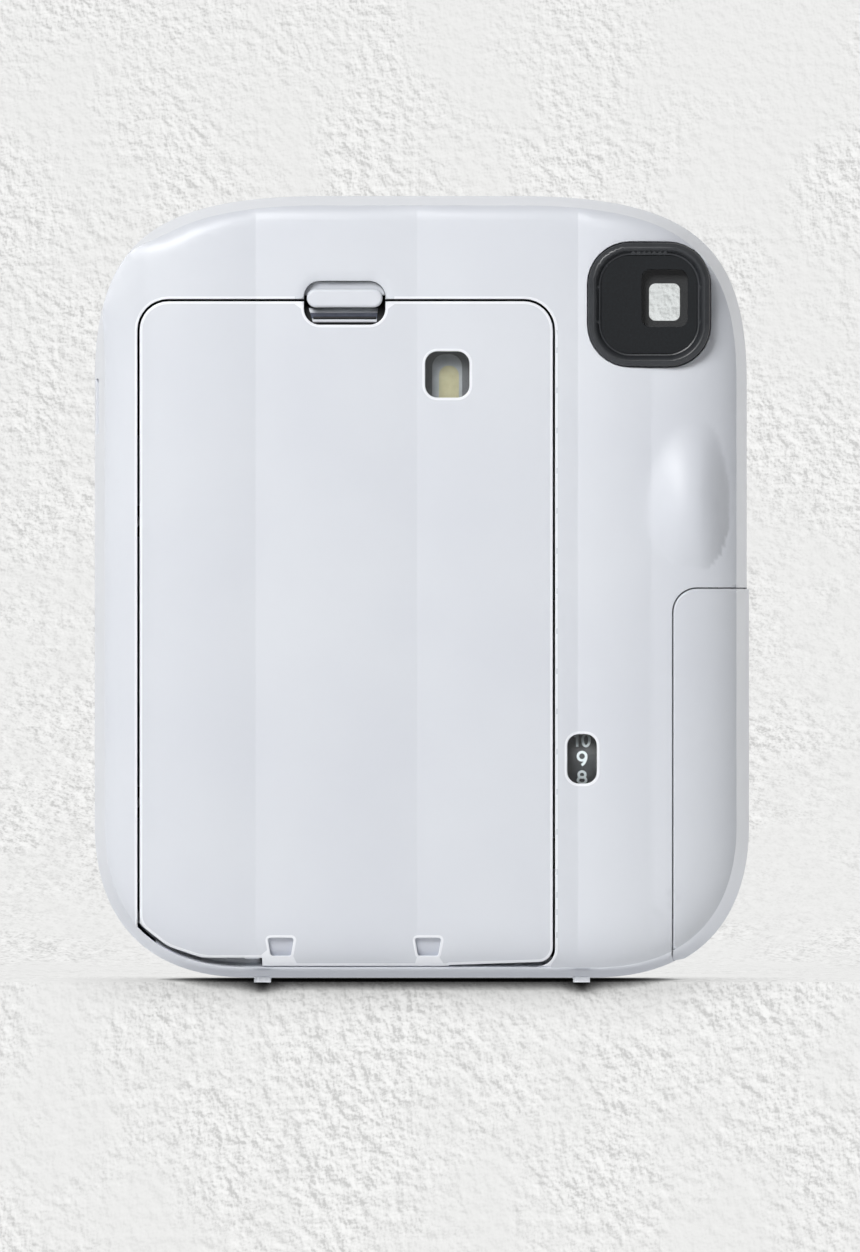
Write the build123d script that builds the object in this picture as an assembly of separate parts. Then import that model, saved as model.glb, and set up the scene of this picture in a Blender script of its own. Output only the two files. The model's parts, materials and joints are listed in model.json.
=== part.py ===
from build123d import *
import math
import os

# Instant camera, in millimetres. +Z is up, +Y is the way the lens looks, and +X is the user's right
# as they look through the finder. The origin is on the table, under the middle of the camera.

# ---- clearances shared by all pieces ----
wall = 2.0
seam = 0.35              # the open line round the door and the battery cover
fit_gap = 0.3            # between a piece and the piece that locates it
slide_gap = 0.15         # between a sliding piece and its guide
run_gap = 0.05           # radial, between a shaft and its bearing

# ---- film pack: it sets the size of the door, the chamber and the casing ----
film_size = (54.0, 86.0)
image_size = (46.0, 62.0)
image_lift = 10.0        # from the pack's base up to the picture
pack_margin = (7.0, 5.4) # how much wider and taller the pack is than its film
pack_depth = 18.0
pack_wall = 1.0
pack_base = 12.0
pack_room = (0.4, 0.8)   # between the pack and its chamber: at the sides and base, and at the top
sheet_stack = 6.0
mark_size = (3.1, 12.0)
mark_thick = 0.15
chamber_wall = 1.2
door_margin = (0.1, 0.8) # how far the door reaches past the chamber: at each side, and at the top

# ---- casing: driving sizes ----
left_margin = 7.3        # from the door to the casing's left side
grip_width = 30.5        # from the door to the casing's right side
head_room = 17.6         # from the chamber to the top of the casing
body_base = 0.5
back_y = -30.6           # the flat of the back face
parting_y = 2.0          # where the rear and front covers meet
front_y = 15.0           # the flat of the front face
front_edge_r = 6.5
side_draft = 1.85        # how much narrower the back rim is than the parting line, on each side
front_draft = 1.6
top_corner_run = 36.0    # how far a top corner reaches along the top
top_corner_drop = 29.0   # and down the side
top_corner_pull = 0.75   # fullness of the corner: 0.55 is nearly round, 1 is square
base_corner = 24.0
base_corner_pull = 0.645
battery_proud = 0.4      # how far the battery cover stands out of the casing

# ---- places that follow from the pack and the casing ----
pack_size = (film_size[0] + pack_margin[0], pack_depth, film_size[1] + pack_margin[1])
chamber_reach = pack_size[0] / 2 + pack_room[0] + chamber_wall
chamber_base = pack_base - pack_room[0] - chamber_wall
chamber_top = pack_base + pack_size[2] + pack_room[1] + chamber_wall
door_width = 2 * (chamber_reach + door_margin[0])
body_width = left_margin + door_width + grip_width
body_top = chamber_top + head_room
body_x = -battery_proud / 2          # keeps the whole camera centred on the origin
left_side = body_x - body_width / 2
right_side = body_x + body_width / 2
door_left = left_side + left_margin
door_right = right_side - grip_width
film_x = (door_left + door_right) / 2
chamber_x = (film_x - chamber_reach, film_x + chamber_reach)
chamber_back_y = back_y + 3.2
pack_back_y = back_y + 4.4
chamber_front_y = pack_back_y + pack_depth + chamber_wall
nip_y = pack_back_y + pack_depth - 0.8       # the depth at which a sheet leaves the pack

# ---- back face: flutes, and the roll towards each edge ----
flute_first = 25.4       # from the left side to the first valley
flute_pitch = 25.1
flute_rise = 0.3
flute_valleys = [left_side + flute_first + k * flute_pitch for k in range(3)]
roll_left = (7.0, 1.9)   # width of the roll, and how far it falls
roll_right = (13.5, 4.2)
roll_top = (2.6, 0.7)
roll_base = (7.6, 2.4)

# ---- film door ----
door_top = chamber_top + door_margin[1]
door_base = 3.9
door_low_right = 3.3
door_corner = 4.5
door_low_corner = 3.0
door_depth_y = back_y + 3.9      # how deep the door's own edge reaches
door_rib = 0.7
tab_left = door_left + 19.1
tab_right = tab_left + 29.1
tab_base = 2.6
tab_pockets = [tab_left + 2.9, tab_right - 3.25]
pocket_size = (4.1, 2.8)
check_window_x = door_right - 16.45
check_window_z = door_top - 11.4
check_window_size = (6.9, 7.2, 1.9)
mark_x = check_window_x + 0.25
pressure_z = (pack_base + 12.0, pack_base + 72.0)
pressure_spread = 15.0           # from the film's middle to each spring
pressure_width = 9.0
seal_depth = 0.9

# ---- hinge ----
hinge_y = back_y + 3.3
hinge_z = 4.8
hinge_pin_r = 0.6
hinge_swing_r = 3.1      # room for the lower edge of the door as it turns
barrel_r = 1.9
lug_width = 2.2
lug_gap = 0.5
lug_r = 1.1
ledge_y = back_y + 5.0   # the cover is set back to here under the door
ledge_drop = 2.9

# ---- latch ----
latch_x = film_x - 0.25
latch_z = door_top - 0.1
latch_well = (12.7, 6.8, 2.5)    # width, height and corner radius of the well that it sits in
latch_tab = (11.8, 2.9)
latch_rib = 9.8
spring_seat_z = latch_z - 9.8

# ---- feet ----
foot_places = [-24.9, 24.9]
foot_size = (2.6, 5.0)
rear_foot_y = (back_y + 6.6, back_y + 12.6)
front_foot_y = (6.0, 10.0)

# ---- finder ----
eye_x = right_side - 15.5
eye_z = body_top - 17.3
eye_frame = (19.0, 19.3, 6.5)    # width, height, corner radius
eye_well = (14.9, 15.2, 4.4)
eye_frame_proud = 1.4
eye_seat_y = back_y + 3.4
finder_x = right_side - 13.1
finder_z = body_top - 16.3
finder_mouth = (7.2, 9.0, 1.4)
finder_mask = (4.8, 5.8, 1.0)    # the clear opening behind the eyepiece lens
finder_mask_drop = 0.6
finder_wall = 1.0
finder_front_x = right_side - 13.5
finder_front_z = body_top - 17.0
finder_front_size = (13.6, 11.4, 2.8)

# ---- battery cover and cells ----
cell_r = 7.25
cell_length = 50.5
cell_x = right_side - 13.3
cell_base = 11.3
rear_cell_y = back_y + 10.1
cell_pitch = 15.1
battery_seam_x = right_side - 11.8
battery_seam_z = cell_base + cell_length - 0.3
battery_corner = 3.8

# ---- thumb rest ----
thumb_x = right_side - 9.5
thumb_z = battery_seam_z + 15.1
thumb_size = (13.6, 24.0)
thumb_proud = 2.9
thumb_blend = 2.0

# ---- frame counter ----
counter_x = door_right + 4.55
counter_z = 34.9
counter_window_size = (4.6, 7.7, 1.8)
counter_drum_r = 5.8
counter_drum_w = 4.4
spindle_r = 0.8

# ---- ejecting rollers and their gears ----
gear_module = 0.83
roller_teeth = 10
idler_teeth = 22
pinion_teeth = 6
gear_face = 2.4
gear_x = chamber_x[1] + 0.7
plate_x = gear_x + gear_face + 1.0
plate_thick = 1.2
axle_r = 1.0
pinion_shaft_r = 1.0
film_nip = 0.3           # the space between the rollers, for one sheet
roller_z = chamber_top + 4.9
roller_length = film_size[0] + 2.0
roller_shaft_r = 1.2
bearing_reach = 3.0
exit_slot = (film_size[0] + 3.0, 2.6)
lip_set_back = 0.5
motor_r = 6.0
motor_length = 17.0

# ---- light cone and chamber screws ----
cone_front_y = 9.0
cone_mouth = 27.0
cone_wall = 1.0
screw_x = (chamber_x[0] - 2.0, chamber_x[1] + 2.6)
screw_places = [(screw_x[0], 28.0), (screw_x[0], 72.0), (screw_x[1], 20.0), (screw_x[1], 62.0)]
screw_shank_r = 0.8
screw_head_r = 1.7
screw_reach = 9.0

# ---- lens ----
lens_x = film_x
lens_z = pack_base + image_lift + image_size[1] / 2
mount_r = 31.0
mount_bore_r = 24.05
mount_rise = 6.5
twist_grip_r = 27.2
twist_bore_r = 20.85
twist_rise = 13.0
twist_ribs = 36
tube_bore_r = 17.4
tube_nose_y = 33.5
front_glass_r = 8.0
rear_glass_r = 6.5
shutter_hole_r = 4.5
shutter_y = 24.0
blade_pivot = 10.5
mirror_at = (10.0, 8.2)
mirror_r = 3.2

# ---- front face: flash, light sensor and shutter button ----
flash_x = left_side + 17.8
flash_z = body_top - 18.0
flash_size = (23.0, 13.0, 2.5)
flash_tube_r = 1.4
capacitor_r = 5.0
capacitor_y = 6.4
capacitor_z = flash_z - 14.5
sensor_x = lens_x + 17.8
sensor_z = body_top - 17.0
sensor_size = (11.0, 5.0, 2.4)
button_x = right_side - 12.9
button_z = thumb_z + 1.4
button_size = (9.0, 16.0, 4.4)
button_travel = 1.2
button_proud = 1.8

# ---- circuit board ----
board_y = 6.6
board_thickness = 1.2
board_x = (right_side - 23.4, right_side - 4.4)
board_z = (14.0, 95.0)
post_inset = (2.5, 4.0)

# ---- strap bar ----
strap_z = 90.0
strap_y = -6.0
strap_well = (8.0, 3.4, 9.0)     # along Y, depth in X, along Z


def arc_corner(start, corner, end, pull):
    """A full, soft corner from start to end, bulging towards the sharp corner point."""
    first = Vector(*start) + (Vector(*corner) - Vector(*start)) * pull
    second = Vector(*end) + (Vector(*corner) - Vector(*end)) * pull
    return Bezier(start, first, second, end)


def casing_outline(inset, y):
    """The camera's outline seen from behind, drawn in the plane at depth y."""
    left = left_side + inset
    right = right_side - inset
    top = body_top - inset
    base = body_base + inset
    run = top_corner_run - inset
    drop = top_corner_drop - inset
    low = base_corner - inset
    p = [
        (left, base + low), (left, top - drop), (left + run, top), (right - run, top),
        (right, top - drop), (right, base + low), (right - low, base), (left + low, base),
    ]
    edges = [
        Line(p[0], p[1]),
        arc_corner(p[1], (left, top), p[2], top_corner_pull),
        Line(p[2], p[3]),
        arc_corner(p[3], (right, top), p[4], top_corner_pull),
        Line(p[4], p[5]),
        arc_corner(p[5], (right, base), p[6], base_corner_pull),
        Line(p[6], p[7]),
        arc_corner(p[7], (left, base), p[0], base_corner_pull),
    ]
    # Plane.XZ looks along -Y: its own x is +X and its own y is +Z
    return Plane.XZ.offset(-y) * make_face(Curve() + edges)


def roll_curve(edge_at, flat_at, edge_level, flat_level):
    """A curve that leaves the edge steeply and runs out flat: one roll of the casing."""
    bend = edge_at + (flat_at - edge_at) * 0.3
    return Bezier((edge_at, edge_level), (bend, flat_level), (flat_at, flat_level))


def back_profile(inset):
    """The back face in plan: a roll at each side and shallow convex flutes between."""
    left = left_side + side_draft + inset
    right = right_side - side_draft - inset
    flat = back_y + inset
    stops = [left + roll_left[0]] + flute_valleys + [right - roll_right[0]]
    edges = [roll_curve(left, stops[0], flat + roll_left[1], flat)]
    for near, far in zip(stops, stops[1:]):
        middle = ((near + far) / 2, flat - flute_rise)
        edges.append(ThreePointArc((near, flat), middle, (far, flat)))
    edges.append(roll_curve(right, stops[-1], flat + roll_right[1], flat))
    outer_left = (left - body_width, flat + roll_left[1])
    outer_right = (right + body_width, flat + roll_right[1])
    deep_left = (outer_left[0], parting_y)
    deep_right = (outer_right[0], parting_y)
    edges.append(Polyline((left, flat + roll_left[1]), outer_left, deep_left, deep_right, outer_right,
                          (right, flat + roll_right[1])))
    return extrude(make_face(Curve() + edges), body_top + wall)


def back_side_profile(inset):
    """The back face in side view: a short roll at the top and a longer one at the base."""
    top = body_top - side_draft - inset
    base = body_base + side_draft + inset
    flat = back_y + inset - flute_rise
    top_flat = top - roll_top[0]
    base_flat = base + roll_base[0]
    upper = roll_curve(top, top_flat, flat + roll_top[1], flat)
    lower = roll_curve(base, base_flat, flat + roll_base[1], flat)
    above = top + wall * 4
    below = base - wall * 4
    # points are (Z, Y) while the curves are drawn, and the face is stood up along X afterwards
    rest = Polyline((top, flat + roll_top[1]), (above, flat + roll_top[1]), (above, parting_y),
                    (below, parting_y), (below, flat + roll_base[1]), (base, flat + roll_base[1]))
    face = make_face(Curve() + [upper, lower, Line((top_flat, flat), (base_flat, flat)), rest])
    upright = Plane(origin=(body_width, 0, 0), x_dir=(0, 0, 1), z_dir=(-1, 0, 0)) * face
    return extrude(upright, body_width * 2)


def rear_form(inset, grow=0.0):
    """The solid rear half of the casing, drawn in by inset on every side."""
    rim = casing_outline(side_draft + inset - grow, back_y - 1.0)
    root = casing_outline(inset - grow, parting_y)
    block = loft([rim, root], ruled=True)
    return block & back_profile(inset - grow) & back_side_profile(inset - grow)


def front_form(inset):
    """The solid front half of the casing, with a soft front edge."""
    face = casing_outline(front_draft + inset, front_y - inset)
    root = casing_outline(inset, parting_y)
    block = loft([root, face], ruled=True)
    rim = block.faces().sort_by(Axis.Y)[-1].edges()
    return fillet(rim, front_edge_r - inset)


def box_between(x, y, z):
    """A box given by its two limits along each axis."""
    middle = ((x[0] + x[1]) / 2, (y[0] + y[1]) / 2, (z[0] + z[1]) / 2)
    return Pos(*middle) * Box(x[1] - x[0], y[1] - y[0], z[1] - z[0])


def prism_y(face, y):
    """A flat shape drawn in X and Z, carried from y[0] to y[1]."""
    return extrude(Plane.XZ.offset(-y[1]) * face, y[1] - y[0])


def soft_prism(x, z, size, y, grow=0.0):
    """A rounded rectangle centred on (x, z), carried from y[0] to y[1]."""
    face = RectangleRounded(size[0] + 2 * grow, size[1] + 2 * grow, size[2] + grow)
    return prism_y(Pos(x, z) * face, y)


def rod_x(y, z, r, x):
    """A round bar along X."""
    return Pos((x[0] + x[1]) / 2, y, z) * Rot(0, 90, 0) * Cylinder(r, x[1] - x[0])


def rod_y(x, z, r, y):
    """A round bar along Y."""
    return Pos(x, (y[0] + y[1]) / 2, z) * Rot(90, 0, 0) * Cylinder(r, y[1] - y[0])


def rod_z(x, y, r, z):
    """A round bar along Z."""
    return Pos(x, y, (z[0] + z[1]) / 2) * Cylinder(r, z[1] - z[0])


def turned(points, centre_x, centre_z):
    """A turned form about a Y axis through (centre_x, centre_z): points are (radius, y)."""
    outline = Plane.XY * make_face(Polyline(*points, close=True))
    return Pos(centre_x, 0, centre_z) * revolve(outline, Axis.Y, 360)


# ---- film door ----

def door_face(grow=0.0):
    """The door's outline: straight sides, soft top corners, cut lower corners and the hinge tab."""
    points = [
        (door_left, door_top), (door_right, door_top), (door_right, door_low_right),
        (tab_right, door_low_right), (tab_right, tab_base), (tab_left, tab_base),
        (tab_left, door_base), (door_left + 9.7, door_base), (door_left + 4.3, door_base + 1.8),
        (door_left, door_base + 5.2),
    ]
    face = make_face(Polyline(*points, close=True))
    top_corners = face.vertices().sort_by(Axis.Y)[-2:]
    face = fillet(top_corners, door_corner)
    lower_right = face.vertices().sort_by(lambda v: v.X - v.Y)[-1]
    face = fillet(lower_right, door_low_corner)
    if grow:
        face = offset(face, grow)
    return face


def door_lug_spans(grow=0.0):
    """Where the two hinge lugs of the rear cover stand along X."""
    left = (tab_left - lug_gap - lug_width - grow, tab_left - lug_gap + grow)
    right = (tab_right + lug_gap - grow, tab_right + lug_gap + lug_width + grow)
    return [left, right]


def latch_well_form(y, grow=0.0):
    return soft_prism(latch_x, latch_z - 0.15, latch_well, y, grow)


def film_door(skin):
    """The door: a piece of the casing skin with a hinge barrel, stiffening ribs and two pockets."""
    door = skin & prism_y(door_face(), (back_y - 5, door_depth_y))
    door += rod_x(hinge_y, hinge_z, barrel_r, (tab_left + seam, tab_right - seam))
    inner_y = back_y + wall
    rim_x = (door_left + 3.0, door_right - 3.0)
    rim_z = (chamber_base + 2.6, spring_seat_z - 0.6)
    rib_y = (inner_y - 0.4, inner_y + door_rib)
    for z in (rim_z[0], rim_z[1]):
        door += box_between(rim_x, rib_y, (z - 0.6, z + 0.6))
    for x in rim_x:
        door += box_between((x - 0.6, x + 0.6), rib_y, (rim_z[0] - 0.6, rim_z[1] + 0.6))
    boss_y = (inner_y - 0.4, inner_y + door_rib)
    door += soft_prism(check_window_x, check_window_z, check_window_size, boss_y, 1.2)
    door -= soft_prism(check_window_x, check_window_z, check_window_size, (back_y - 5, inner_y + 5))
    for x in tab_pockets:
        pocket = Pos(x, door_base + 1.7) * Trapezoid(pocket_size[0], pocket_size[1], 80, rotation=180)
        door -= prism_y(pocket, (back_y - 5, back_y + roll_base[1] + 0.4))
    door -= latch_well_form((back_y - 5, inner_y + 5))
    door -= rod_x(hinge_y, hinge_z, hinge_pin_r + run_gap, (tab_left - 1, tab_right + 1))
    for span in door_lug_spans(fit_gap):
        notch = rod_x(hinge_y, hinge_z, lug_r + fit_gap, span)
        below = (hinge_z - 4, hinge_z + lug_r + fit_gap)
        notch += box_between(span, (hinge_y - fit_gap, hinge_y + 6), below)
        door -= notch
    return door


# ---- casing ----

def battery_face(grow=0.0):
    """The battery cover's outline from behind: a soft inner corner, open past the casing's edge."""
    beyond = body_width
    points = [
        (battery_seam_x, battery_seam_z), (beyond, battery_seam_z), (beyond, -20), (battery_seam_x, -20),
    ]
    face = make_face(Polyline(*points, close=True))
    corner = face.vertices().sort_by(lambda v: v.X - v.Y)[0]
    face = fillet(corner, battery_corner)
    if grow:
        face = offset(face, grow)
    return face


def thumb_rest():
    """A spindle-shaped swelling, fuller towards its outer and lower side."""
    half = thumb_size[1] / 2
    ball = Sphere(half)
    thick = (thumb_size[0] / thumb_size[1], 2 * thumb_proud / thumb_size[1] * 1.25, 1.0)
    swelling = scale(ball, by=thick)
    return Pos(thumb_x, back_y + thumb_proud * 0.25, thumb_z) * swelling


def eyelet_cup():
    """The well in the left side that the strap bar crosses, with its walls."""
    left = left_side
    depth = strap_well[1] + 1.6
    y = (strap_y - strap_well[0] / 2, strap_y + strap_well[0] / 2)
    z = (strap_z - strap_well[2] / 2, strap_z + strap_well[2] / 2)
    outside = (left + 0.8, left + depth + 1.2)
    cup = box_between(outside, (y[0] - 1.2, y[1] + 1.2), (z[0] - 1.2, z[1] + 1.2))
    well = box_between((left - 3, left + depth), y, z)
    return cup, fillet(well.edges().filter_by(Axis.Z), 1.0)


def rear_cover(skin, form):
    cover = skin + (thumb_rest() - rear_form(wall))
    joins = cover.edges().filter_by(GeomType.BSPLINE).filter_by_position(Axis.Z, thumb_z - 1, thumb_z + 1)
    cover = fillet(joins, thumb_blend)
    cup, well = eyelet_cup()
    cover = (cover + (cup & form)) - well
    opening = door_face(seam)
    cover -= prism_y(opening, (back_y - 5, ledge_y))
    cover -= Pos(0, 0, -ledge_drop) * prism_y(opening, (back_y - 5, ledge_y))
    cover -= rod_x(hinge_y, hinge_z, hinge_swing_r, (tab_left - seam, tab_right + seam))
    cover -= latch_well_form((back_y - 5, back_y + wall + 3))
    for span in door_lug_spans():
        lug = rod_x(hinge_y, hinge_z, lug_r, span)
        lug += box_between(span, (hinge_y, ledge_y + 4), (hinge_z, hinge_z + lug_r))
        lug += box_between(span, (ledge_y, ledge_y + 4), (hinge_z - lug_r - 1, hinge_z + lug_r))
        cover += lug - rod_x(hinge_y, hinge_z, hinge_pin_r, span)
    cover += soft_prism(eye_x, eye_z, eye_frame, (back_y + wall - 0.5, eye_seat_y + 1.6), 1.2) & form
    cover -= soft_prism(eye_x, eye_z, eye_frame, (back_y - 5, eye_seat_y), slide_gap)
    cover -= soft_prism(eye_x, eye_z, eye_well, (back_y - 5, eye_seat_y + 5), slide_gap)
    cover -= soft_prism(counter_x, counter_z, counter_window_size, (back_y - 5, back_y + 8))
    cover -= prism_y(battery_face(seam), (back_y - 5, parting_y + 1))
    cover -= exit_slot_cut(exit_slot)
    cover += counter_ears()
    cover += rear_feet()
    return cover


def exit_slot_cut(size):
    return box_between((film_x - size[0] / 2, film_x + size[0] / 2),
                       (nip_y - size[1] / 2, nip_y + size[1] / 2), (body_top - 8, body_top + 1))


def counter_axis_y():
    """The drum stands just behind its window."""
    return back_y + wall + 0.8 + counter_drum_r


def counter_ears():
    ears = []
    y = counter_axis_y()
    for x in (counter_x - counter_drum_w / 2 - 1.2, counter_x + counter_drum_w / 2 + 0.4):
        ear = box_between((x, x + 0.8), (back_y + wall - 0.6, y + 1.8), (counter_z - 1.8, counter_z + 1.8))
        ears.append(ear - rod_x(y, counter_z, spindle_r, (x - 1, x + 2)))
    return ears


def foot(x, y, top):
    """A moulded foot, standing on the table."""
    return box_between((x - foot_size[0] / 2, x + foot_size[0] / 2), y, (0, top))


def rear_feet():
    return [foot(x, rear_foot_y, body_base + wall * 0.9) for x in foot_places]


def front_feet():
    return [foot(x, front_foot_y, body_base + wall * 0.9) for x in foot_places]


def front_cover(skin):
    cover = skin
    lens_cut = rod_y(lens_x, lens_z, mount_bore_r + 2.0, (front_y - wall - 3, front_y + 1))
    cover -= lens_cut
    through = (front_y - wall - 3, front_y + 1)
    cover -= soft_prism(flash_x, flash_z, flash_size, through, slide_gap)
    cover -= soft_prism(finder_front_x, finder_front_z, finder_front_size, through, slide_gap)
    cover -= soft_prism(sensor_x, sensor_z, sensor_size, through, slide_gap)
    cover -= soft_prism(button_x, button_z, button_size, through, slide_gap)
    for x, z in screw_places:
        post = rod_y(x, z, screw_shank_r + 1.6, (chamber_front_y, front_y - wall + 0.5))
        cover += post - rod_y(x, z, screw_shank_r, (chamber_front_y - 1, chamber_front_y + screw_reach))
    for x, z in board_posts():
        cover += rod_y(x, z, 1.6, (board_y + board_thickness, front_y - wall + 0.5))
    for x in (flash_x - 8, flash_x + 8):
        cover += capacitor_saddle(x)
    cover += front_feet()
    return cover


def board_posts():
    """Where the front cover's posts carry the circuit board."""
    low = board_z[0] + post_inset[1]
    high = board_z[1] - post_inset[1]
    near = board_x[0] + post_inset[0]
    far = board_x[1] - post_inset[0]
    return [(near, low), (far, low), (near, high)]


def capacitor_saddle(x):
    """A rib on the front cover, hollowed to the capacitor's side."""
    rib = box_between((x - 0.8, x + 0.8), (capacitor_y, front_y - wall + 0.5),
                      (capacitor_z - capacitor_r - 1.2, capacitor_z + capacitor_r * 0.5))
    return rib - rod_x(capacitor_y, capacitor_z, capacitor_r, (x - 1, x + 1))


def battery_cover():
    """A piece of skin that stands slightly proud of the casing, with two rails that guide it."""
    outer = rear_form(-battery_proud)
    inner = rear_form(wall - battery_proud)
    zone = prism_y(battery_face(0), (back_y - 5, parting_y - seam))
    return (outer - inner) & zone


# ---- latch ----

def latch():
    """The sliding latch: a plate behind the door, a tongue that catches the cover, and a finger bar."""
    behind = back_y + wall + slide_gap
    plate_x = (latch_x - latch_well[0] / 2 - 1.6, latch_x + latch_well[0] / 2 + 1.6)
    plate = box_between(plate_x, (behind, behind + 1.0), (latch_z - 5.4, latch_z - 1.2))
    tongue = box_between((latch_x - 4, latch_x + 4), (behind, behind + 1.0), (latch_z - 2, latch_z + 4.6))
    stem_z = (latch_z - 0.2, latch_z + 0.9)
    stem = box_between((latch_x - 5, latch_x + 5), (back_y - 0.3, behind + 0.5), stem_z)
    bar = soft_prism(latch_x, latch_z + 0.6, (latch_tab[0], latch_tab[1], latch_tab[1] / 2 - 0.05),
                     (back_y - 0.6, back_y + 0.8))
    bar = fillet(bar.faces().sort_by(Axis.Y)[0].edges(), 0.5)
    piece = plate + tongue + stem + bar
    for step in range(3):
        z = latch_z - 3.2 + step * 0.75
        piece += rod_x(behind, z, 0.3, (latch_x - latch_rib / 2, latch_x + latch_rib / 2))
    return piece


def latch_spring():
    """A small wire spring that holds the latch up, between its plate and a ledge on the door."""
    return rod_z(latch_x, back_y + wall + 0.8, 0.6, (spring_seat_z, latch_z - 5.4))


def hinge_pin():
    left = door_lug_spans()[0][0]
    right = door_lug_spans()[1][1]
    return rod_x(hinge_y, hinge_z, hinge_pin_r, (left, right))


def check_window():
    """The clear plug in the door."""
    y = (back_y + 0.7, back_y + wall + door_rib)
    return soft_prism(check_window_x, check_window_z, check_window_size, y, -slide_gap / 3)


def pressure_spring(x):
    """A bowed leaf on the door that keeps the film pack forward."""
    y = back_y + wall
    middle = (pressure_z[0] + pressure_z[1]) / 2
    rise = pack_back_y - fit_gap - y
    outer = ThreePointArc((y, pressure_z[0]), (y + rise, middle), (y, pressure_z[1]))
    inner = ThreePointArc((y, pressure_z[1] - 2), (y + rise - 0.3, middle), (y, pressure_z[0] + 2))
    start = Line((y, pressure_z[0] + 2), (y, pressure_z[0]))
    end = Line((y, pressure_z[1]), (y, pressure_z[1] - 2))
    face = make_face(Curve() + [outer, end, inner, start])
    return extrude(Plane.YZ.offset(x - pressure_width / 2) * face, pressure_width)


def light_seal():
    """A strip of foam along the top and sides of the film chamber's mouth."""
    outer = (chamber_x[0] + 0.1, chamber_x[1] - 0.1)
    y = (chamber_back_y - seal_depth, chamber_back_y)
    latch_room = latch_well[0] / 2 + 2.0
    spans = [(outer[0], latch_x - latch_room), (latch_x + latch_room, outer[1])]
    top = [box_between(span, y, (chamber_top - chamber_wall, chamber_top)) for span in spans]
    sides = [box_between((x, x + chamber_wall), y, (chamber_base + 6, chamber_top - chamber_wall))
             for x in (outer[0], outer[1] - chamber_wall)]
    return top + sides


# ---- film chamber and light cone ----

def film_chamber():
    """The tray that holds the pack: four walls, a front plate with the aperture, and screw ears."""
    y = (chamber_back_y, chamber_front_y)
    z = (chamber_base, chamber_top)
    tray = box_between(chamber_x, y, z)
    tray = fillet(tray.edges().filter_by(Axis.Y), 2 * chamber_wall)
    hollow_x = (chamber_x[0] + chamber_wall, chamber_x[1] - chamber_wall)
    hollow_z = (z[0] + chamber_wall, z[1] - chamber_wall)
    hollow = box_between(hollow_x, (y[0] - 1, y[1] - chamber_wall), hollow_z)
    tray -= fillet(hollow.edges().filter_by(Axis.Y), chamber_wall)
    aperture_x = (film_x - image_size[0] / 2, film_x + image_size[0] / 2)
    aperture_z = (lens_z - image_size[1] / 2, lens_z + image_size[1] / 2)
    tray -= box_between(aperture_x, (y[1] - 5, y[1] + 1), aperture_z)
    slot_x = (film_x - exit_slot[0] / 2, film_x + exit_slot[0] / 2)
    tray -= box_between(slot_x, (nip_y - exit_slot[1] / 2, nip_y + exit_slot[1] / 2), (z[1] - 3, z[1] + 1))
    for x, height in screw_places:
        side = chamber_x[0] if x < film_x else chamber_x[1]
        ear = box_between(sorted((x, side)), (y[1] - chamber_wall, y[1]), (height - 2.4, height + 2.4))
        ear += rod_y(x, height, 2.4, (y[1] - chamber_wall, y[1]))
        tray += ear - rod_y(x, height, screw_shank_r + 0.1, (y[1] - 3, y[1] + 1))
    return tray


def light_cone():
    """The dark funnel from the lens to the picture's edge."""
    y = (chamber_front_y, cone_front_y)
    wide = (image_size[0] + 3, image_size[1] + 3)
    narrow = (cone_mouth, cone_mouth)

    def frustum(shrink):
        rear = Pos(lens_x, lens_z) * Rectangle(wide[0] - shrink, wide[1] - shrink)
        front = Pos(lens_x, lens_z) * Rectangle(narrow[0] - shrink, narrow[1] - shrink)
        return loft([Plane.XZ.offset(-y[0]) * rear, Plane.XZ.offset(-y[1]) * front], ruled=True)

    return frustum(0) - frustum(2 * cone_wall)


def chamber_screws():
    """Four small screws through the chamber's ears into the front cover's posts."""
    screws = []
    head = (chamber_front_y - chamber_wall - 1.2, chamber_front_y - chamber_wall)
    for x, z in screw_places:
        screw = rod_y(x, z, screw_head_r, head)
        screw += rod_y(x, z, screw_shank_r, (head[1], chamber_front_y + screw_reach))
        cross = Pos(x, head[0], z) * (Box(2.0, 0.8, 0.45) + Box(0.45, 0.8, 2.0))
        screws.append(screw - cross)
    return screws


# ---- film ----

def film_pack():
    """The pack's moulded shell, with a picture opening in front and a slot for the film at the top."""
    x = (film_x - pack_size[0] / 2, film_x + pack_size[0] / 2)
    y = (pack_back_y, pack_back_y + pack_size[1])
    z = (pack_base, pack_base + pack_size[2])
    shell = box_between(x, y, z)
    shell = fillet(shell.edges().filter_by(Axis.Y), 1.5)
    t = pack_wall
    shell -= box_between((x[0] + t, x[1] - t), (y[0] + t, y[1] - t), (z[0] + t, z[1] - t))
    picture_x = (film_x - image_size[0] / 2 - 1, film_x + image_size[0] / 2 + 1)
    picture_z = (lens_z - image_size[1] / 2 - 1, lens_z + image_size[1] / 2 + 1)
    shell -= box_between(picture_x, (y[1] - 3, y[1] + 1), picture_z)
    shell -= box_between((x[0] + 2, x[1] - 2), (nip_y - 1.0, nip_y + 1.0), (z[1] - 3, z[1] + 1))
    return shell


def pack_mark():
    """The coloured strip on the pack's back that the check window shows."""
    face = Pos(mark_x, check_window_z - 4.6) * RectangleRounded(mark_size[0], mark_size[1], 1.5)
    return prism_y(face, (pack_back_y - mark_thick, pack_back_y))


def film_sheets():
    """The stack of sheets, held forward against the pack's picture opening."""
    front = pack_back_y + pack_size[1] - pack_wall
    base = pack_base + pack_wall + 0.3
    return box_between((film_x - film_size[0] / 2, film_x + film_size[0] / 2), (front - sheet_stack, front),
                       (base, base + film_size[1]))


# ---- gears and rollers ----

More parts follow.
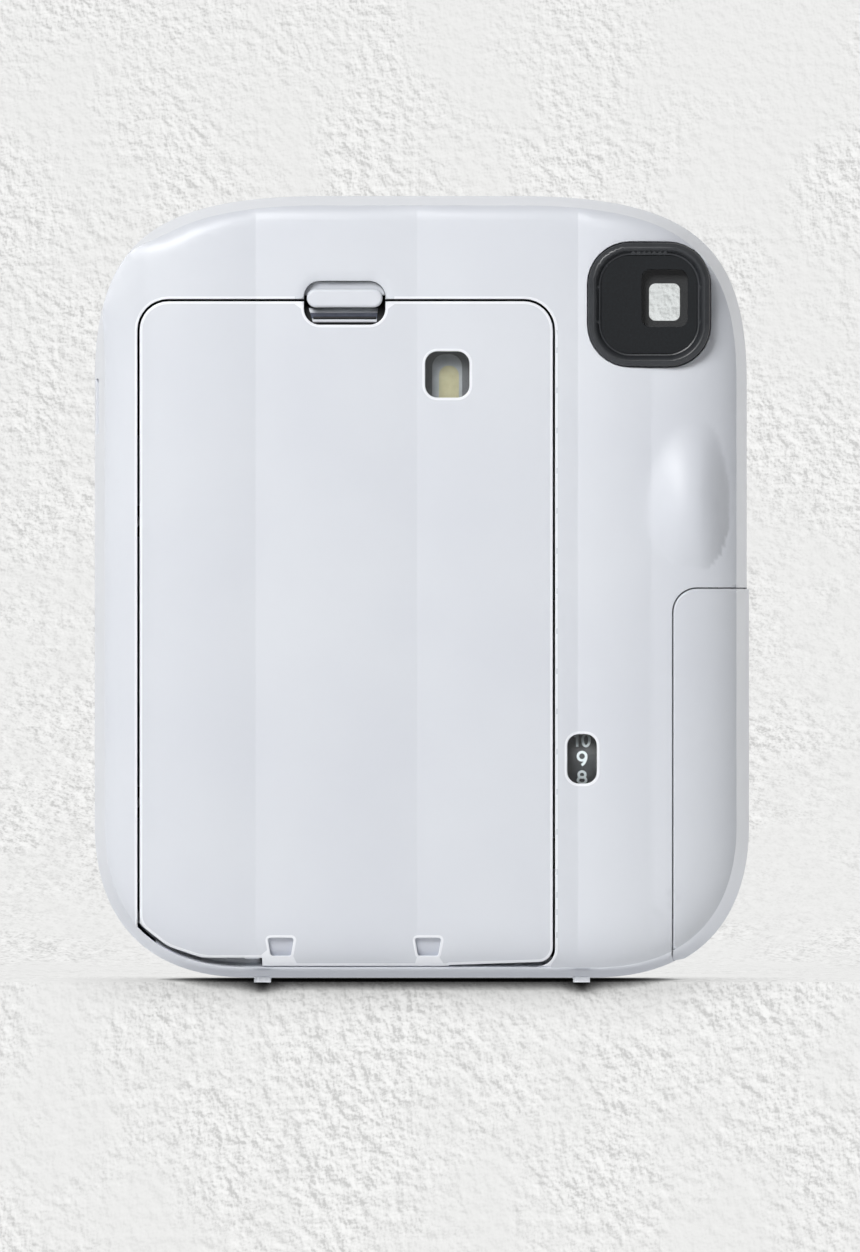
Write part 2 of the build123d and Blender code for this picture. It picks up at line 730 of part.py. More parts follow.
def gear_outline(teeth, tooth_at):
    """A spur gear's outline in (Y, Z). A tooth points along the angle tooth_at, in degrees."""
    pitch_r = gear_module * teeth / 2
    tip_r = pitch_r + gear_module * 0.8
    root_r = pitch_r - gear_module * 1.05
    step = 360 / teeth
    points = []
    for k in range(teeth):
        at = tooth_at + k * step
        for r, share in ((root_r, -0.30), (pitch_r, -0.21), (tip_r, -0.10),
                         (tip_r, 0.10), (pitch_r, 0.21), (root_r, 0.30)):
            angle = math.radians(at + share * step)
            points.append((r * math.cos(angle), r * math.sin(angle)))
    return make_face(Polyline(*points, close=True))


def gear(y, z, teeth, tooth_at, bore_r):
    """A spur gear on an X axis, its face centred in the gear bay."""
    plane = Plane(origin=(gear_x, y, z), x_dir=(0, 1, 0), z_dir=(1, 0, 0))
    wheel = extrude(plane * gear_outline(teeth, tooth_at), gear_face)
    return wheel - rod_x(y, z, bore_r, (gear_x - 1, gear_x + gear_face + 1))


def pitch_radius(teeth):
    return gear_module * teeth / 2


def roller_y(side):
    """Depth of a roller's axis: side is -1 behind the film and 1 in front of it."""
    return nip_y + side * pitch_radius(roller_teeth)


def roller(side):
    """An ejecting roller: a sleeve with grip bands at the ends, on a shaft that carries its gear."""
    y = roller_y(side)
    r = pitch_radius(roller_teeth) - film_nip / 2
    x = (film_x - roller_length / 2, film_x + roller_length / 2)
    body = rod_x(y, roller_z, r - 0.25, x)
    for band in (x[0] + 3.5, film_x, x[1] - 3.5):
        body += rod_x(y, roller_z, r, (band - 3, band + 3))
    return body + rod_x(y, roller_z, roller_shaft_r, (x[0] - bearing_reach, gear_x + gear_face))


def roller_frame():
    """Two cheeks and a rear beam that carry the rollers above the film chamber."""
    half = pitch_radius(roller_teeth) * 2 + 1.6
    y = (nip_y - half, nip_y + half)
    z = (chamber_top, roller_z + 2.2)
    left = film_x - roller_length / 2 - 1.4
    right = film_x + roller_length / 2 + 1.4
    frame = box_between((left - 1.4, left), y, z) + box_between((right, right + 1.4), y, z)
    frame += box_between((left, right), (y[0], y[0] + 1.2), z)
    for side in (-1, 1):
        frame -= rod_x(roller_y(side), roller_z, roller_shaft_r + run_gap, (left - 3, right + 3))
    return frame


def idler_z():
    return roller_z - pitch_radius(roller_teeth) - pitch_radius(idler_teeth)


def pinion_z():
    return idler_z() - pitch_radius(idler_teeth) - pitch_radius(pinion_teeth)


def idler_axle():
    return rod_x(roller_y(-1), idler_z(), axle_r, (gear_x - 0.3, plate_x + plate_thick))


def gear_plate():
    """The plate beside the gears that carries the idler's axle and the motor."""
    y = roller_y(-1)
    z = (pinion_z() - motor_r - 2, idler_z() + 6)
    plate = box_between((plate_x, plate_x + plate_thick), (y - 7.5, chamber_front_y), z)
    bar_y = (chamber_front_y - 1.6, chamber_front_y)
    plate += box_between((chamber_x[1], plate_x), bar_y, (z[0], z[0] + 6))
    plate -= rod_x(y, idler_z(), axle_r, (plate_x - 1, plate_x + 5))
    plate -= rod_x(y, pinion_z(), motor_r * 0.45, (plate_x - 1, plate_x + 5))
    return plate


def film_motor():
    """A small can motor, flattened on two sides, with its boss in the plate."""
    y = roller_y(-1)
    x = (plate_x + plate_thick, plate_x + plate_thick + motor_length)
    can = rod_x(y, pinion_z(), motor_r, x)
    flat = motor_r * 0.83
    can &= box_between(x, (y - motor_r, y + motor_r), (pinion_z() - flat, pinion_z() + flat))
    can += rod_x(y, pinion_z(), motor_r * 0.45, (plate_x, x[0]))
    can -= rod_x(y, pinion_z(), pinion_shaft_r + run_gap, (plate_x - 1, x[1] - 3))
    return can + rod_x(y, pinion_z(), 1.6, (x[1], x[1] + 1.2))


def motor_pinion():
    y = roller_y(-1)
    wheel = gear(y, pinion_z(), pinion_teeth, 90, pinion_shaft_r * 0.5)
    return wheel + rod_x(y, pinion_z(), pinion_shaft_r, (gear_x, plate_x + plate_thick + motor_length * 0.5))


# ---- finder ----

def eyepiece_ring():
    """The soft black frame round the eyepiece, with a raised rim and a sloping inner edge."""
    y = (back_y - eye_frame_proud, eye_seat_y)
    ring = soft_prism(eye_x, eye_z, eye_frame, y)
    ring = fillet(ring.faces().sort_by(Axis.Y)[0].edges(), 0.8)
    ring -= soft_prism(eye_x, eye_z, eye_well, (y[0] - 1, y[1] + 1))
    return ring


def eyepiece_plate():
    """The grained plate inside the ring, with the mouth of the finder in it."""
    y = (back_y - 0.2, back_y + wall)
    plate = soft_prism(eye_x, eye_z, eye_well, y)
    plate -= soft_prism(finder_x, finder_z, finder_mouth, (y[0] - 1, y[1] + 1))
    return plate


def finder_tube():
    """The black tube from the eyepiece to the front window, with a mask behind the eyepiece lens."""
    mask_thick = 0.9
    y = (back_y + wall, front_y - wall)
    rear_size = (finder_mouth[0] + 2 * finder_wall, finder_mouth[1] + 2 * finder_wall)
    front_size = (finder_front_size[0] - 2.0, finder_front_size[1] - 1.5)
    corner = finder_mouth[2] + finder_wall

    def funnel(shrink, start):
        rear = RectangleRounded(rear_size[0] - 2 * shrink, rear_size[1] - 2 * shrink, corner - shrink)
        front = RectangleRounded(front_size[0] - 2 * shrink, front_size[1] - 2 * shrink, corner - shrink)
        rear = Plane.XZ.offset(-start) * Pos(finder_x, finder_z) * rear
        front = Plane.XZ.offset(-y[1]) * Pos(finder_front_x, finder_front_z) * front
        return loft([rear, front], ruled=True)

    tube = funnel(0, y[0]) - funnel(finder_wall, y[0] + mask_thick)
    mask_z = finder_z - finder_mask_drop
    return tube - soft_prism(finder_x, mask_z, finder_mask, (y[0] - 1, y[0] + mask_thick + 1))


def eyepiece_lens():
    y = (back_y + wall - 1.0, back_y + wall)
    return soft_prism(finder_x, finder_z, finder_mouth, y, -0.02)


def finder_front_window():
    y = (front_y - wall, front_y - 0.2)
    return soft_prism(finder_front_x, finder_front_z, finder_front_size, y)


# ---- lens ----

def lens_mount():
    """The fixed collar on the front cover that the twist ring turns in."""
    root = front_y - wall
    nose = front_y + mount_rise
    points = [
        (mount_bore_r, root - 1.5), (mount_bore_r + 2.0, root - 1.5), (mount_bore_r + 2.0, front_y),
        (mount_r, front_y), (mount_r - 0.4, nose - 2.4), (mount_r - 1.3, nose - 0.8),
        (mount_r - 2.6, nose), (mount_bore_r + 0.8, nose), (mount_bore_r, nose - 0.8),
    ]
    return turned(points, lens_x, lens_z)


def twist_ring():
    """The ring that the user turns: a sleeve in the collar and a ribbed grip in front of it."""
    sleeve_r = mount_bore_r - run_gap
    grip_y = (front_y + mount_rise + fit_gap, front_y + twist_rise)
    points = [
        (twist_bore_r, front_y - 5.0), (sleeve_r, front_y - 5.0), (sleeve_r, grip_y[0]),
        (twist_grip_r, grip_y[0]), (twist_grip_r, grip_y[1] - 1.4), (twist_grip_r - 1.4, grip_y[1]),
        (twist_bore_r, grip_y[1]),
    ]
    ring = turned(points, lens_x, lens_z)
    groove = rod_y(twist_grip_r + 0.35, 0, 0.7, (grip_y[0] - 1, grip_y[1] + 1))
    for k in range(twist_ribs):
        ring -= Pos(lens_x, 0, lens_z) * Rot(0, k * 360 / twist_ribs, 0) * groove
    return ring


def lens_tube():
    """The sliding barrel, open in front, with a step that carries the lens group."""
    outer = twist_bore_r - run_gap
    rear = front_y - 3.0
    points = [
        (tube_bore_r, rear), (outer, rear), (outer, tube_nose_y - 1.2), (outer - 1.2, tube_nose_y),
        (tube_bore_r + 0.6, tube_nose_y), (tube_bore_r, tube_nose_y - 0.8),
    ]
    return turned(points, lens_x, lens_z)


def lens_bezel():
    """The dished front plate round the lens."""
    y = tube_nose_y - 2.6
    points = [
        (front_glass_r, y - 1.6), (tube_bore_r, y - 1.6), (tube_bore_r, y + 1.4),
        (tube_bore_r - 1.6, y + 1.4), (front_glass_r + 2.6, y - 0.2), (front_glass_r + 1.2, y + 0.9),
        (front_glass_r, y + 0.9),
    ]
    return turned(points, lens_x, lens_z) - mirror_seat()


def mirror_seat():
    place = Pos(lens_x - mirror_at[0], 0, lens_z + mirror_at[1])
    return place * rod_y(0, 0, mirror_r, (tube_nose_y - 3.4, tube_nose_y + 1))


def selfie_mirror():
    """A small domed mirror set in the bezel."""
    y = tube_nose_y - 3.4
    points = [(0, y), (mirror_r, y), (mirror_r, y + 1.6), (mirror_r * 0.5, y + 2.0), (0, y + 2.15)]
    return turned(points, lens_x - mirror_at[0], lens_z + mirror_at[1])


def bulged_glass(r, y, edge, bulge):
    """A round lens: its rim is edge thick and each face bulges beyond the rim."""
    blank = rod_y(lens_x, lens_z, r, (y - bulge[0], y + edge + bulge[1]))
    rear_r = (r * r + bulge[0] ** 2) / (2 * bulge[0])
    front_r = (r * r + bulge[1] ** 2) / (2 * bulge[1])
    blank &= Pos(lens_x, y - bulge[0] + rear_r, lens_z) * Sphere(rear_r)
    return blank & Pos(lens_x, y + edge + bulge[1] - front_r, lens_z) * Sphere(front_r)


def front_glass():
    return bulged_glass(front_glass_r, tube_nose_y - 4.2, 2.4, (0.3, 1.4))


def rear_glass():
    return bulged_glass(rear_glass_r, shutter_y - 4.4, 2.0, (1.0, 0.3))


def shutter_plate():
    """The plate across the tube that holds the shutter, the rear glass and the blade's pivot."""
    plate = rod_y(lens_x, lens_z, tube_bore_r, (shutter_y, shutter_y + 1.2))
    plate += rod_y(lens_x, lens_z, rear_glass_r + 1.2, (shutter_y - 4.4, shutter_y))
    plate -= rod_y(lens_x, lens_z, rear_glass_r, (shutter_y - 5, shutter_y - 0.6))
    plate -= rod_y(lens_x, lens_z, shutter_hole_r, (shutter_y - 5, shutter_y + 5))
    pivot = rod_y(lens_x + blade_pivot, lens_z, 0.8, (shutter_y + 1.2, shutter_y + 2.4))
    return plate + pivot


def shutter_blade():
    """The blade that covers the hole until the shutter fires."""
    y = (shutter_y + 1.4, shutter_y + 1.8)
    blade = rod_y(lens_x, lens_z, shutter_hole_r + 0.7, y) + rod_y(lens_x + blade_pivot, lens_z, 1.9, y)
    blade += box_between((lens_x, lens_x + blade_pivot), y, (lens_z - 1.6, lens_z + 1.6))
    return blade - rod_y(lens_x + blade_pivot, lens_z, 0.8 + run_gap, (y[0] - 1, y[1] + 1))


# ---- flash and light sensor ----

def flash_window():
    """The clear pane, ribbed on its inner face."""
    y = (front_y - wall + 0.4, front_y - 0.1)
    pane = soft_prism(flash_x, flash_z, flash_size, y)
    for k in range(7):
        z = flash_z - flash_size[1] / 2 + 2.0 + k * 1.5
        pane -= rod_x(y[0], z, 0.3, (flash_x - flash_size[0] / 2 + 1, flash_x + flash_size[0] / 2 - 1))
    return pane


def flash_reflector():
    """A bright trough behind the pane, with the tube at its root."""
    y = (front_y - wall - 7.0, front_y - wall)
    half = flash_size[1] / 2 - 0.8
    x = (flash_x - flash_size[0] / 2 + 1, flash_x + flash_size[0] / 2 - 1)
    outside = make_face(Polyline((y[1], flash_z - half), (y[0], flash_z - 2.6), (y[0], flash_z + 2.6),
                                 (y[1], flash_z + half), close=True))
    inside = make_face(Polyline((y[1] + 1, flash_z - half + 0.3), (y[0] + 0.6, flash_z - 2.0),
                                (y[0] + 0.6, flash_z + 2.0), (y[1] + 1, flash_z + half - 0.3), close=True))
    trough = extrude(Plane.YZ.offset(x[0]) * outside, x[1] - x[0])
    trough -= extrude(Plane.YZ.offset(x[0] + 0.6) * inside, x[1] - x[0] - 1.2)
    return trough - rod_x(y[0] + 2.2, flash_z, flash_tube_r, (x[0] - 1, x[1] + 1))


def flash_tube():
    y = front_y - wall - 4.8
    half = flash_size[0] / 2 + 0.5
    return rod_x(y, flash_z, flash_tube_r, (flash_x - half, flash_x + half))


def flash_capacitor():
    """The capacitor lies along X under the flash, in a cradle on the front cover."""
    can = rod_x(capacitor_y, capacitor_z, capacitor_r, (flash_x - 13, flash_x + 13))
    return can


def sensor_window():
    return soft_prism(sensor_x, sensor_z, sensor_size, (front_y - wall, front_y - 0.1))


# ---- release ----

def shutter_button():
    """An upright rounded key with a stem that reaches the switch, and a flange that keeps it in."""
    y = (front_y - wall - 0.2, front_y + button_proud)
    key = soft_prism(button_x, button_z, button_size, (y[0], y[1]), -0.05)
    key = fillet(key.faces().sort_by(Axis.Y)[-1].edges(), 1.2)
    key += soft_prism(button_x, button_z, button_size, (y[0] - 1.0, y[0]), 0.8)
    return key + rod_y(button_x, button_z, 1.2, (switch_top_y() + button_travel + 0.1, y[0] - 1.0))


def switch_top_y():
    return board_y + board_thickness + 1.5


def button_switch():
    """The small dome switch on the board, behind the button's stem."""
    y = (board_y + board_thickness, switch_top_y())
    return box_between((button_x - 2.6, button_x + 2.6), y, (button_z - 2.6, button_z + 2.6))


def button_spring():
    """The return spring round the stem, drawn as its closed sleeve."""
    y = (board_y + board_thickness, front_y - wall - 1.2)
    spring = rod_y(button_x, button_z, 4.3, y) - rod_y(button_x, button_z, 3.8, (y[0] - 1, y[1] + 1))
    return spring


# ---- power and control ----

def board():
    """The circuit board, cut back round the lens and the finder."""
    y = (board_y, board_y + board_thickness)
    plate = box_between(board_x, y, board_z)
    plate = fillet(plate.edges().filter_by(Axis.Y), 2.0)
    return plate


def battery_box():
    """The bay for the two cells, open on the side that the cover closes."""
    y = (rear_cell_y - cell_r - 0.35, rear_cell_y + cell_pitch + cell_r + 0.5)
    x = (cell_x - cell_r - 1.4, cell_x + 2.2)
    z = (cell_base - 1.4, cell_base + cell_length + 1.6)
    bay = box_between(x, (y[0], y[1] + 1.0), z)
    bay -= box_between((x[0] + 1.1, x[1] + 1), (y[0] - 1, y[1]), (z[0] + 1.0, z[1] - 1.0))
    middle = rear_cell_y + cell_pitch / 2
    web = box_between((x[0] + 1.1, cell_x - 5.2), (middle - 0.3, middle + 0.3), (z[0] + 1.0, z[1] - 1.0))
    return bay + web


def cell(y, nub_up):
    """One AA cell: a can and its nub."""
    base = cell_base if nub_up else cell_base + 1.0
    body = rod_z(cell_x, y, cell_r, (base, base + cell_length - 1.0))
    body = fillet(body.edges(), 0.5)
    nub = (base + cell_length - 1.0, base + cell_length) if nub_up else (base - 1.0, base)
    return body + rod_z(cell_x, y, 2.6, nub)


def battery_cells():
    return [cell(rear_cell_y, True), cell(rear_cell_y + cell_pitch, False)]


def battery_contacts():
    """Flat contact plates above and below the cells."""
    top = cell_base + cell_length
    low = cell_base
    plates = []
    for y in (rear_cell_y, rear_cell_y + cell_pitch):
        plates.append(box_between((cell_x - 4, cell_x + 3.6), (y - 4, y + 4), (top, top + 0.6)))
    both = (rear_cell_y - 4, rear_cell_y + cell_pitch + 4)
    plates.append(box_between((cell_x - 4, cell_x + 3.6), both, (low - 0.4, low)))
    return plates


# ---- counter, strap, exit slot ----

def counter_drum():
    y = counter_axis_y()
    half = counter_drum_w / 2
    drum = rod_x(y, counter_z, counter_drum_r, (counter_x - half, counter_x + half))
    return drum - rod_x(y, counter_z, spindle_r + run_gap, (counter_x - 5, counter_x + 5))


def counter_spindle():
    y = counter_axis_y()
    reach = (counter_x - counter_drum_w / 2 - 1.2, counter_x + counter_drum_w / 2 + 1.2)
    return rod_x(y, counter_z, spindle_r, reach)


def counter_window():
    return soft_prism(counter_x, counter_z, counter_window_size, (back_y + 0.6, back_y + wall))


def strap_bar():
    half = strap_well[2] / 2
    return rod_z(left_side + 2.1, strap_y, 0.9, (strap_z - half, strap_z + half))


def exit_lip(skin):
    """A thin flap that keeps light and dust out of the film's slot."""
    x = (film_x - exit_slot[0] / 2, film_x + exit_slot[0] / 2)
    y = (nip_y - exit_slot[1] / 2, nip_y - exit_slot[1] / 2 + 0.8)
    return box_between(x, y, (body_top - 8, body_top)) & skin


# ---- the whole camera ----

def camera():
    """Every node of the camera, by name. A list is a group of separate solids."""
    form = rear_form(0)
    skin = form - rear_form(wall)
    front_skin = front_form(0) - front_form(wall)
    shaft = roller_shaft_r
    return {
        "rear_cover": rear_cover(skin, form),
        "front_cover": front_cover(front_skin),
        "film_door": film_door(skin),
        "door_hinge_pin": hinge_pin(),
        "door_latch": latch(),
        "latch_spring": latch_spring(),
        "check_window": check_window(),
        "pressure_springs": [pressure_spring(film_x + side * pressure_spread) for side in (-1, 1)],
        "light_seal": light_seal(),
        "film_chamber": film_chamber(),
        "chamber_screws": chamber_screws(),
        "film_pack": film_pack(),
        "pack_mark": pack_mark(),
        "film_sheets": film_sheets(),
        "light_cone": light_cone(),
        "rear_roller": roller(-1),
        "front_roller": roller(1),
        "rear_roller_gear": gear(roller_y(-1), roller_z, roller_teeth, 270, shaft),
        "front_roller_gear": gear(roller_y(1), roller_z, roller_teeth, 180, shaft),
        "roller_frame": roller_frame(),
        "idler_gear": gear(roller_y(-1), idler_z(), idler_teeth, 90 + 180 / idler_teeth, axle_r + run_gap),
        "idler_axle": idler_axle(),
        "gear_plate": gear_plate(),
        "film_motor": film_motor(),
        "motor_pinion": motor_pinion(),
        "exit_lip": exit_lip(rear_form(lip_set_back) - rear_form(wall)),
        "eyepiece_ring": eyepiece_ring(),
        "eyepiece_plate": eyepiece_plate(),
        "eyepiece_lens": eyepiece_lens(),
        "finder_tube": finder_tube(),
        "finder_front_window": finder_front_window(),
        "lens_mount": lens_mount(),
        "twist_ring": twist_ring(),
        "lens_tube": lens_tube(),
        "lens_bezel": lens_bezel(),
        "front_glass": front_glass(),
        "rear_glass": rear_glass(),
        "selfie_mirror": selfie_mirror(),
        "shutter_plate": shutter_plate(),
        "shutter_blade": shutter_blade(),
        "flash_window": flash_window(),
        "flash_reflector": flash_reflector(),
        "flash_tube": flash_tube(),
        "flash_capacitor": flash_capacitor(),
        "sensor_window": sensor_window(),
        "shutter_button": shutter_button(),
        "button_spring": button_spring(),
        "button_switch": button_switch(),
        "circuit_board": board(),
        "battery_box": battery_box(),
        "battery_contacts": battery_contacts(),
        "battery_cells": battery_cells(),
        "battery_cover": battery_cover(),
        "counter_drum": counter_drum(),
        "counter_spindle": counter_spindle(),
        "counter_window": counter_window(),
        "strap_bar": strap_bar(),
    }


os.makedirs("parts", exist_ok=True)
for name, piece in camera().items():
    if isinstance(piece, list):
        piece = Compound(children=piece)
    export_step(piece, f"parts/{name}.step")
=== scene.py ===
# %% [markdown]
# # An instant camera, seen from behind
# The working parts come from a imported CAD model. This script dresses them: it builds the
# moulded skins, the soft rubber and the printed numbers as meshes, and gives every piece a
# finish. We start by loading the fixed frame and keeping its size.

# %% Load the frame
import json
import math

import bmesh
import bpy
import numpy as np
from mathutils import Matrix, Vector
from mathutils.geometry import delaunay_2d_cdt


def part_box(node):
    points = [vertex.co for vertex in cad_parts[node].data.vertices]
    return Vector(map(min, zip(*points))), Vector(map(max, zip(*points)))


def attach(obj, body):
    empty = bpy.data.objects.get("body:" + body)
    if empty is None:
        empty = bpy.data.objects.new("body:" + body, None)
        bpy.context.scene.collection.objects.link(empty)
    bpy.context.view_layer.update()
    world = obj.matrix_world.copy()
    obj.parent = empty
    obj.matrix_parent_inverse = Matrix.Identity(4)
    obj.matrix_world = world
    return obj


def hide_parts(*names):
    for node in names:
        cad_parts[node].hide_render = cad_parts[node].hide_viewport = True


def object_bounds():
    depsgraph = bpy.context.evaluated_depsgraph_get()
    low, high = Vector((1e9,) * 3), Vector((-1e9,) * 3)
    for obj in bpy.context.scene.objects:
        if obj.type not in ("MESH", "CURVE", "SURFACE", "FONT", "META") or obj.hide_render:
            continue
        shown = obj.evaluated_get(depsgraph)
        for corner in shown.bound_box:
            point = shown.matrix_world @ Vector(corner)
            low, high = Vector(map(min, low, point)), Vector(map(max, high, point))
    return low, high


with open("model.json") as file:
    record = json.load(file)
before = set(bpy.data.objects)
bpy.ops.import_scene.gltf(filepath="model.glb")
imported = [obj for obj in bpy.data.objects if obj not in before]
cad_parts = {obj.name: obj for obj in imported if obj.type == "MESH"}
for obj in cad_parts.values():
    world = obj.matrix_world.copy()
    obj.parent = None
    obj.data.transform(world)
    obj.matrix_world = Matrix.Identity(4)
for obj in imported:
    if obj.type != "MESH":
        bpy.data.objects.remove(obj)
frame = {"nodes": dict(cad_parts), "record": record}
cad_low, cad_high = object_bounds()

nodes = frame["nodes"]
size = cad_high - cad_low
print("nodes:", len(nodes), " size in mm:", [round(v * 1000, 1) for v in size])

# %% [markdown]
# ## Units and colour
# The model is in metres, but a camera is easier to think about in millimetres, so every size
# below is in millimetres and is multiplied by `MM` where a mesh is made. Colours are written
# as sRGB hex, the way a paint chart gives them, while shaders want linear values.

# %% Units and colour
MM = 0.001


def linear(hex_code):
    """An sRGB hex colour as the linear RGBA that a shader socket takes."""
    channels = [int(hex_code[i:i + 2], 16) / 255 for i in (1, 3, 5)]
    bent = [c / 12.92 if c <= 0.04045 else ((c + 0.055) / 1.055) ** 2.4 for c in channels]
    return (*bent, 1.0)


print("shell white in linear:", [round(c, 3) for c in linear("#E4E7EB")])

# %% [markdown]
# ## Building a finish
# A procedural finish is a small network: noise feeds a bump, and sometimes a colour ramp, and
# these feed the Principled shader. One helper adds a node, sets its values and connects its
# inputs, so that each finish below reads like a recipe.

# %% The helper that adds a node


def add(tree, kind, *wires, settings=None, **inputs):
    """Adds a node of a kind. `wires` go to its first inputs in order, `inputs` to those of that
    name. Each is a plain value, a (node, output) pair to link from, or None to leave alone."""
    node = tree.nodes.new("ShaderNode" + kind)
    for name, value in (settings or {}).items():
        setattr(node, name, value)
    named = {name.replace("_", " "): value for name, value in inputs.items()}
    for place, value in [*enumerate(wires), *named.items()]:
        if isinstance(value, tuple) and isinstance(value[0], bpy.types.Node):
            tree.links.new(value[0].outputs[value[1]], node.inputs[place])
        elif value is not None:
            node.inputs[place].default_value = value
    return node


def show(tree, shader):
    """Makes a shader node the one that the material or the world shows."""
    end = tree.nodes.get("Material Output") or tree.nodes["World Output"]
    tree.links.new(shader.outputs[0], end.inputs["Surface"])


def finish(name, colour, roughness, metallic=0.0, **sockets):
    """A new material with its Principled shader set. Returns the tree and that shader."""
    material = bpy.data.materials.new(name)
    material.use_nodes = True
    tree = material.node_tree
    shader = tree.nodes["Principled BSDF"]
    sockets.update(Base_Color=linear(colour), Roughness=roughness, Metallic=metallic)
    for key, value in sockets.items():
        shader.inputs[key.replace("_", " ")].default_value = value
    finishes[name] = material
    return tree, shader


def noise_on(tree, spacing, detail, scale=(1.0, 1.0, 1.0), location=(0.0, 0.0, 0.0), **sockets):
    """Noise whose patches are `spacing` mm apart on the object, stretched where scale isn't 1."""
    where = add(tree, "TexCoord"), "Object"
    if (scale, location) != ((1.0, 1.0, 1.0), (0.0, 0.0, 0.0)):
        where = add(tree, "Mapping", Vector=where, Scale=scale, Location=location), "Vector"
    return add(tree, "TexNoise", Vector=where, Scale=1 / (spacing * MM), Detail=detail, **sockets)


def emboss(tree, shader, noise, depth):
    """Turns noise into bumps `depth` mm high."""
    bump = add(tree, "Bump", Height=(noise, "Fac"), Distance=depth * MM, Strength=1.0)
    tree.links.new(bump.outputs["Normal"], shader.inputs["Normal"])


def grain(tree, shader, spacing, depth, detail=3.0):
    """Fine texture: noise whose bumps are `spacing` mm apart and `depth` mm high."""
    emboss(tree, shader, noise_on(tree, spacing, detail), depth)


def tint(tree, shader, spacing, low, high):
    """Slow colour drift between two hex colours, over patches `spacing` mm across."""
    ramp = add(tree, "ValToRGB", (noise_on(tree, spacing, 2.0), "Fac"))
    for element, place, colour in zip(ramp.color_ramp.elements, (0.35, 0.65), (low, high)):
        element.position, element.color = place, linear(colour)
    tree.links.new(ramp.outputs["Color"], shader.inputs["Base Color"])


def finish_rows(rows):
    """Finishes from rows: name, colour, roughness, IOR, then the measures of the grain and of
    the tint, or None where a finish has no such texture, and then any further sockets."""
    for name, colour, roughness, ior, grains, tints, *more in rows:
        tree, shader = finish(name, colour, roughness, IOR=ior, **dict(more))
        if grains:
            grain(tree, shader, *grains)
        if tints:
            tint(tree, shader, *tints)
    print("made", ", ".join(row[0] for row in rows))


finishes = {}
print("helpers ready")

# %% [markdown]
# ## The shell's plastic
# The casing is injection-moulded ABS in a pale blue-grey white, from a polished mould with a
# very fine spark-eroded grain. The eye reads that as a satin surface: soft, wide highlights
# and no mirror image. We use an IOR of 1.53, a roughness of 0.43, a grain of about 0.35 mm
# that is only a few microns deep, and a hardly visible drift of colour from the moulding. The
# rims beside a seam get a lighter, glossier finish of their own, which is a painted highlight.

# %% Moulded ABS
finish_rows([
    ("moulded_white_ABS", "#DADDE4", 0.43, 1.53, (0.35, 0.004), (30, "#D8DBE2", "#DCDFE5")),
    # a lighter rim beside a seam, which is a painted highlight; the rear feet wear it too
    ("painted_highlight_white_ABS", "#F3F5FA", 0.3, 1.53, (0.35, 0.003), None),
    # pale trim, and the greyer floors of the finger pockets, where it is painted shade
    ("pale_ABS_and_pocket_shade", "#CDD0D9", 0.32, 1.53, (0.35, 0.004), (12, "#CACDD6", "#D0D3DB")),
    # black parts, and the walls of a seam, where it is painted shade
    ("black_ABS_and_seam_shade", "#17191B", 0.55, 1.53, (0.4, 0.02), (8, "#141618", "#1B1D20")),
])

# %% [markdown]
# ## Rubber, foam and the black parts round the finder
# The frame round the eyepiece is a soft elastomer, moulded over a hard ring. It is nearly
# black and has a slight sheen, where hard ABS inside it has a coarser, drier spark grain that
# scatters light away so that none reaches the user's eye.

# %% Elastomer, spark-grained ABS, rubber sleeves and foam
finish_rows([
    ("soft_black_elastomer", "#2C2E31", 0.36, 1.5, (0.3, 0.01), (4, "#292B2E", "#2F3134")),
    ("spark_grained_black_ABS", "#0A0D0E", 0.6, 1.35, (0.22, 0.02, 4.0),
     (0.4, "#080B0F", "#0D1216")),
    ("ground_rubber", "#3A3B3D", 0.7, 1.5, (0.25, 0.03), (3, "#343537", "#414244")),
    ("open_cell_foam", "#222222", 0.95, 1.5, (0.6, 0.2, 5.0), (0.8, "#181818", "#2C2C2C")),
])

# %% [markdown]
# ## Metals
# Small steel parts are drawn or ground, so their marks run one way: stretching the noise
# along one axis gives that. The motor can is nickel-plated, the pinion is turned brass and
# the selfie mirror is vacuum-coated aluminium.

# %% Drawn steel, nickel plate, brass, mirror and satin silver


def brushed(name, colour, roughness, along):
    """Bare metal whose marks run along the axis that has the smallest scale."""
    tree, shader = finish(name, colour, roughness, metallic=1.0)
    noise = noise_on(tree, 0.25, 3.0, along)
    spread = add(tree, "MapRange", (noise, "Fac"), To_Min=roughness - 0.06, To_Max=roughness + 0.08)
    tree.links.new(spread.outputs["Result"], shader.inputs["Roughness"])
    emboss(tree, shader, noise, 0.004)


brushed("drawn_steel", "#B9BBBD", 0.3, (0.05, 1.0, 1.0))
brushed("nickel_plate", "#C9C6BF", 0.22, (0.1, 1.0, 1.0))
brushed("turned_brass", "#C8A75A", 0.3, (1.0, 0.1, 1.0))
brushed("satin_silver_paint", "#C4C7CC", 0.38, (1.0, 0.3, 1.0))
tree, shader = finish("vacuum_coated_mirror", "#DADDE0", 0.04, metallic=1.0)
grain(tree, shader, spacing=1.5, depth=0.0008)
print("metals ready")

# %% [markdown]
# ## Clear parts
# Windows are acrylic with an IOR of 1.49 and lenses are glass at about 1.52, with a thin
# coating that leaves a faint violet reflection. A window this thin casts next to no shadow on
# what lies behind it, so the acrylic is open for shadow rays.

# %% Acrylic and coated glass
tree, shader = finish("clear_acrylic", "#F7F9F9", 0.0, IOR=1.49, Transmission_Weight=1.0)
grain(tree, shader, spacing=6.0, depth=0.0006)
seen, open_way = add(tree, "LightPath"), add(tree, "BsdfTransparent")
show(tree, add(tree, "MixShader", (seen, "Is Shadow Ray"), (shader, 0), (open_way, 0)))
tree, shader = finish("coated_glass", "#F5F6FA", 0.01, IOR=1.52, Transmission_Weight=1.0,
                      Coat_Weight=0.35, Coat_Roughness=0.02, Coat_Tint=linear("#B9A6E8"))
grain(tree, shader, spacing=6.0, depth=0.0008)
print("clear finishes ready")

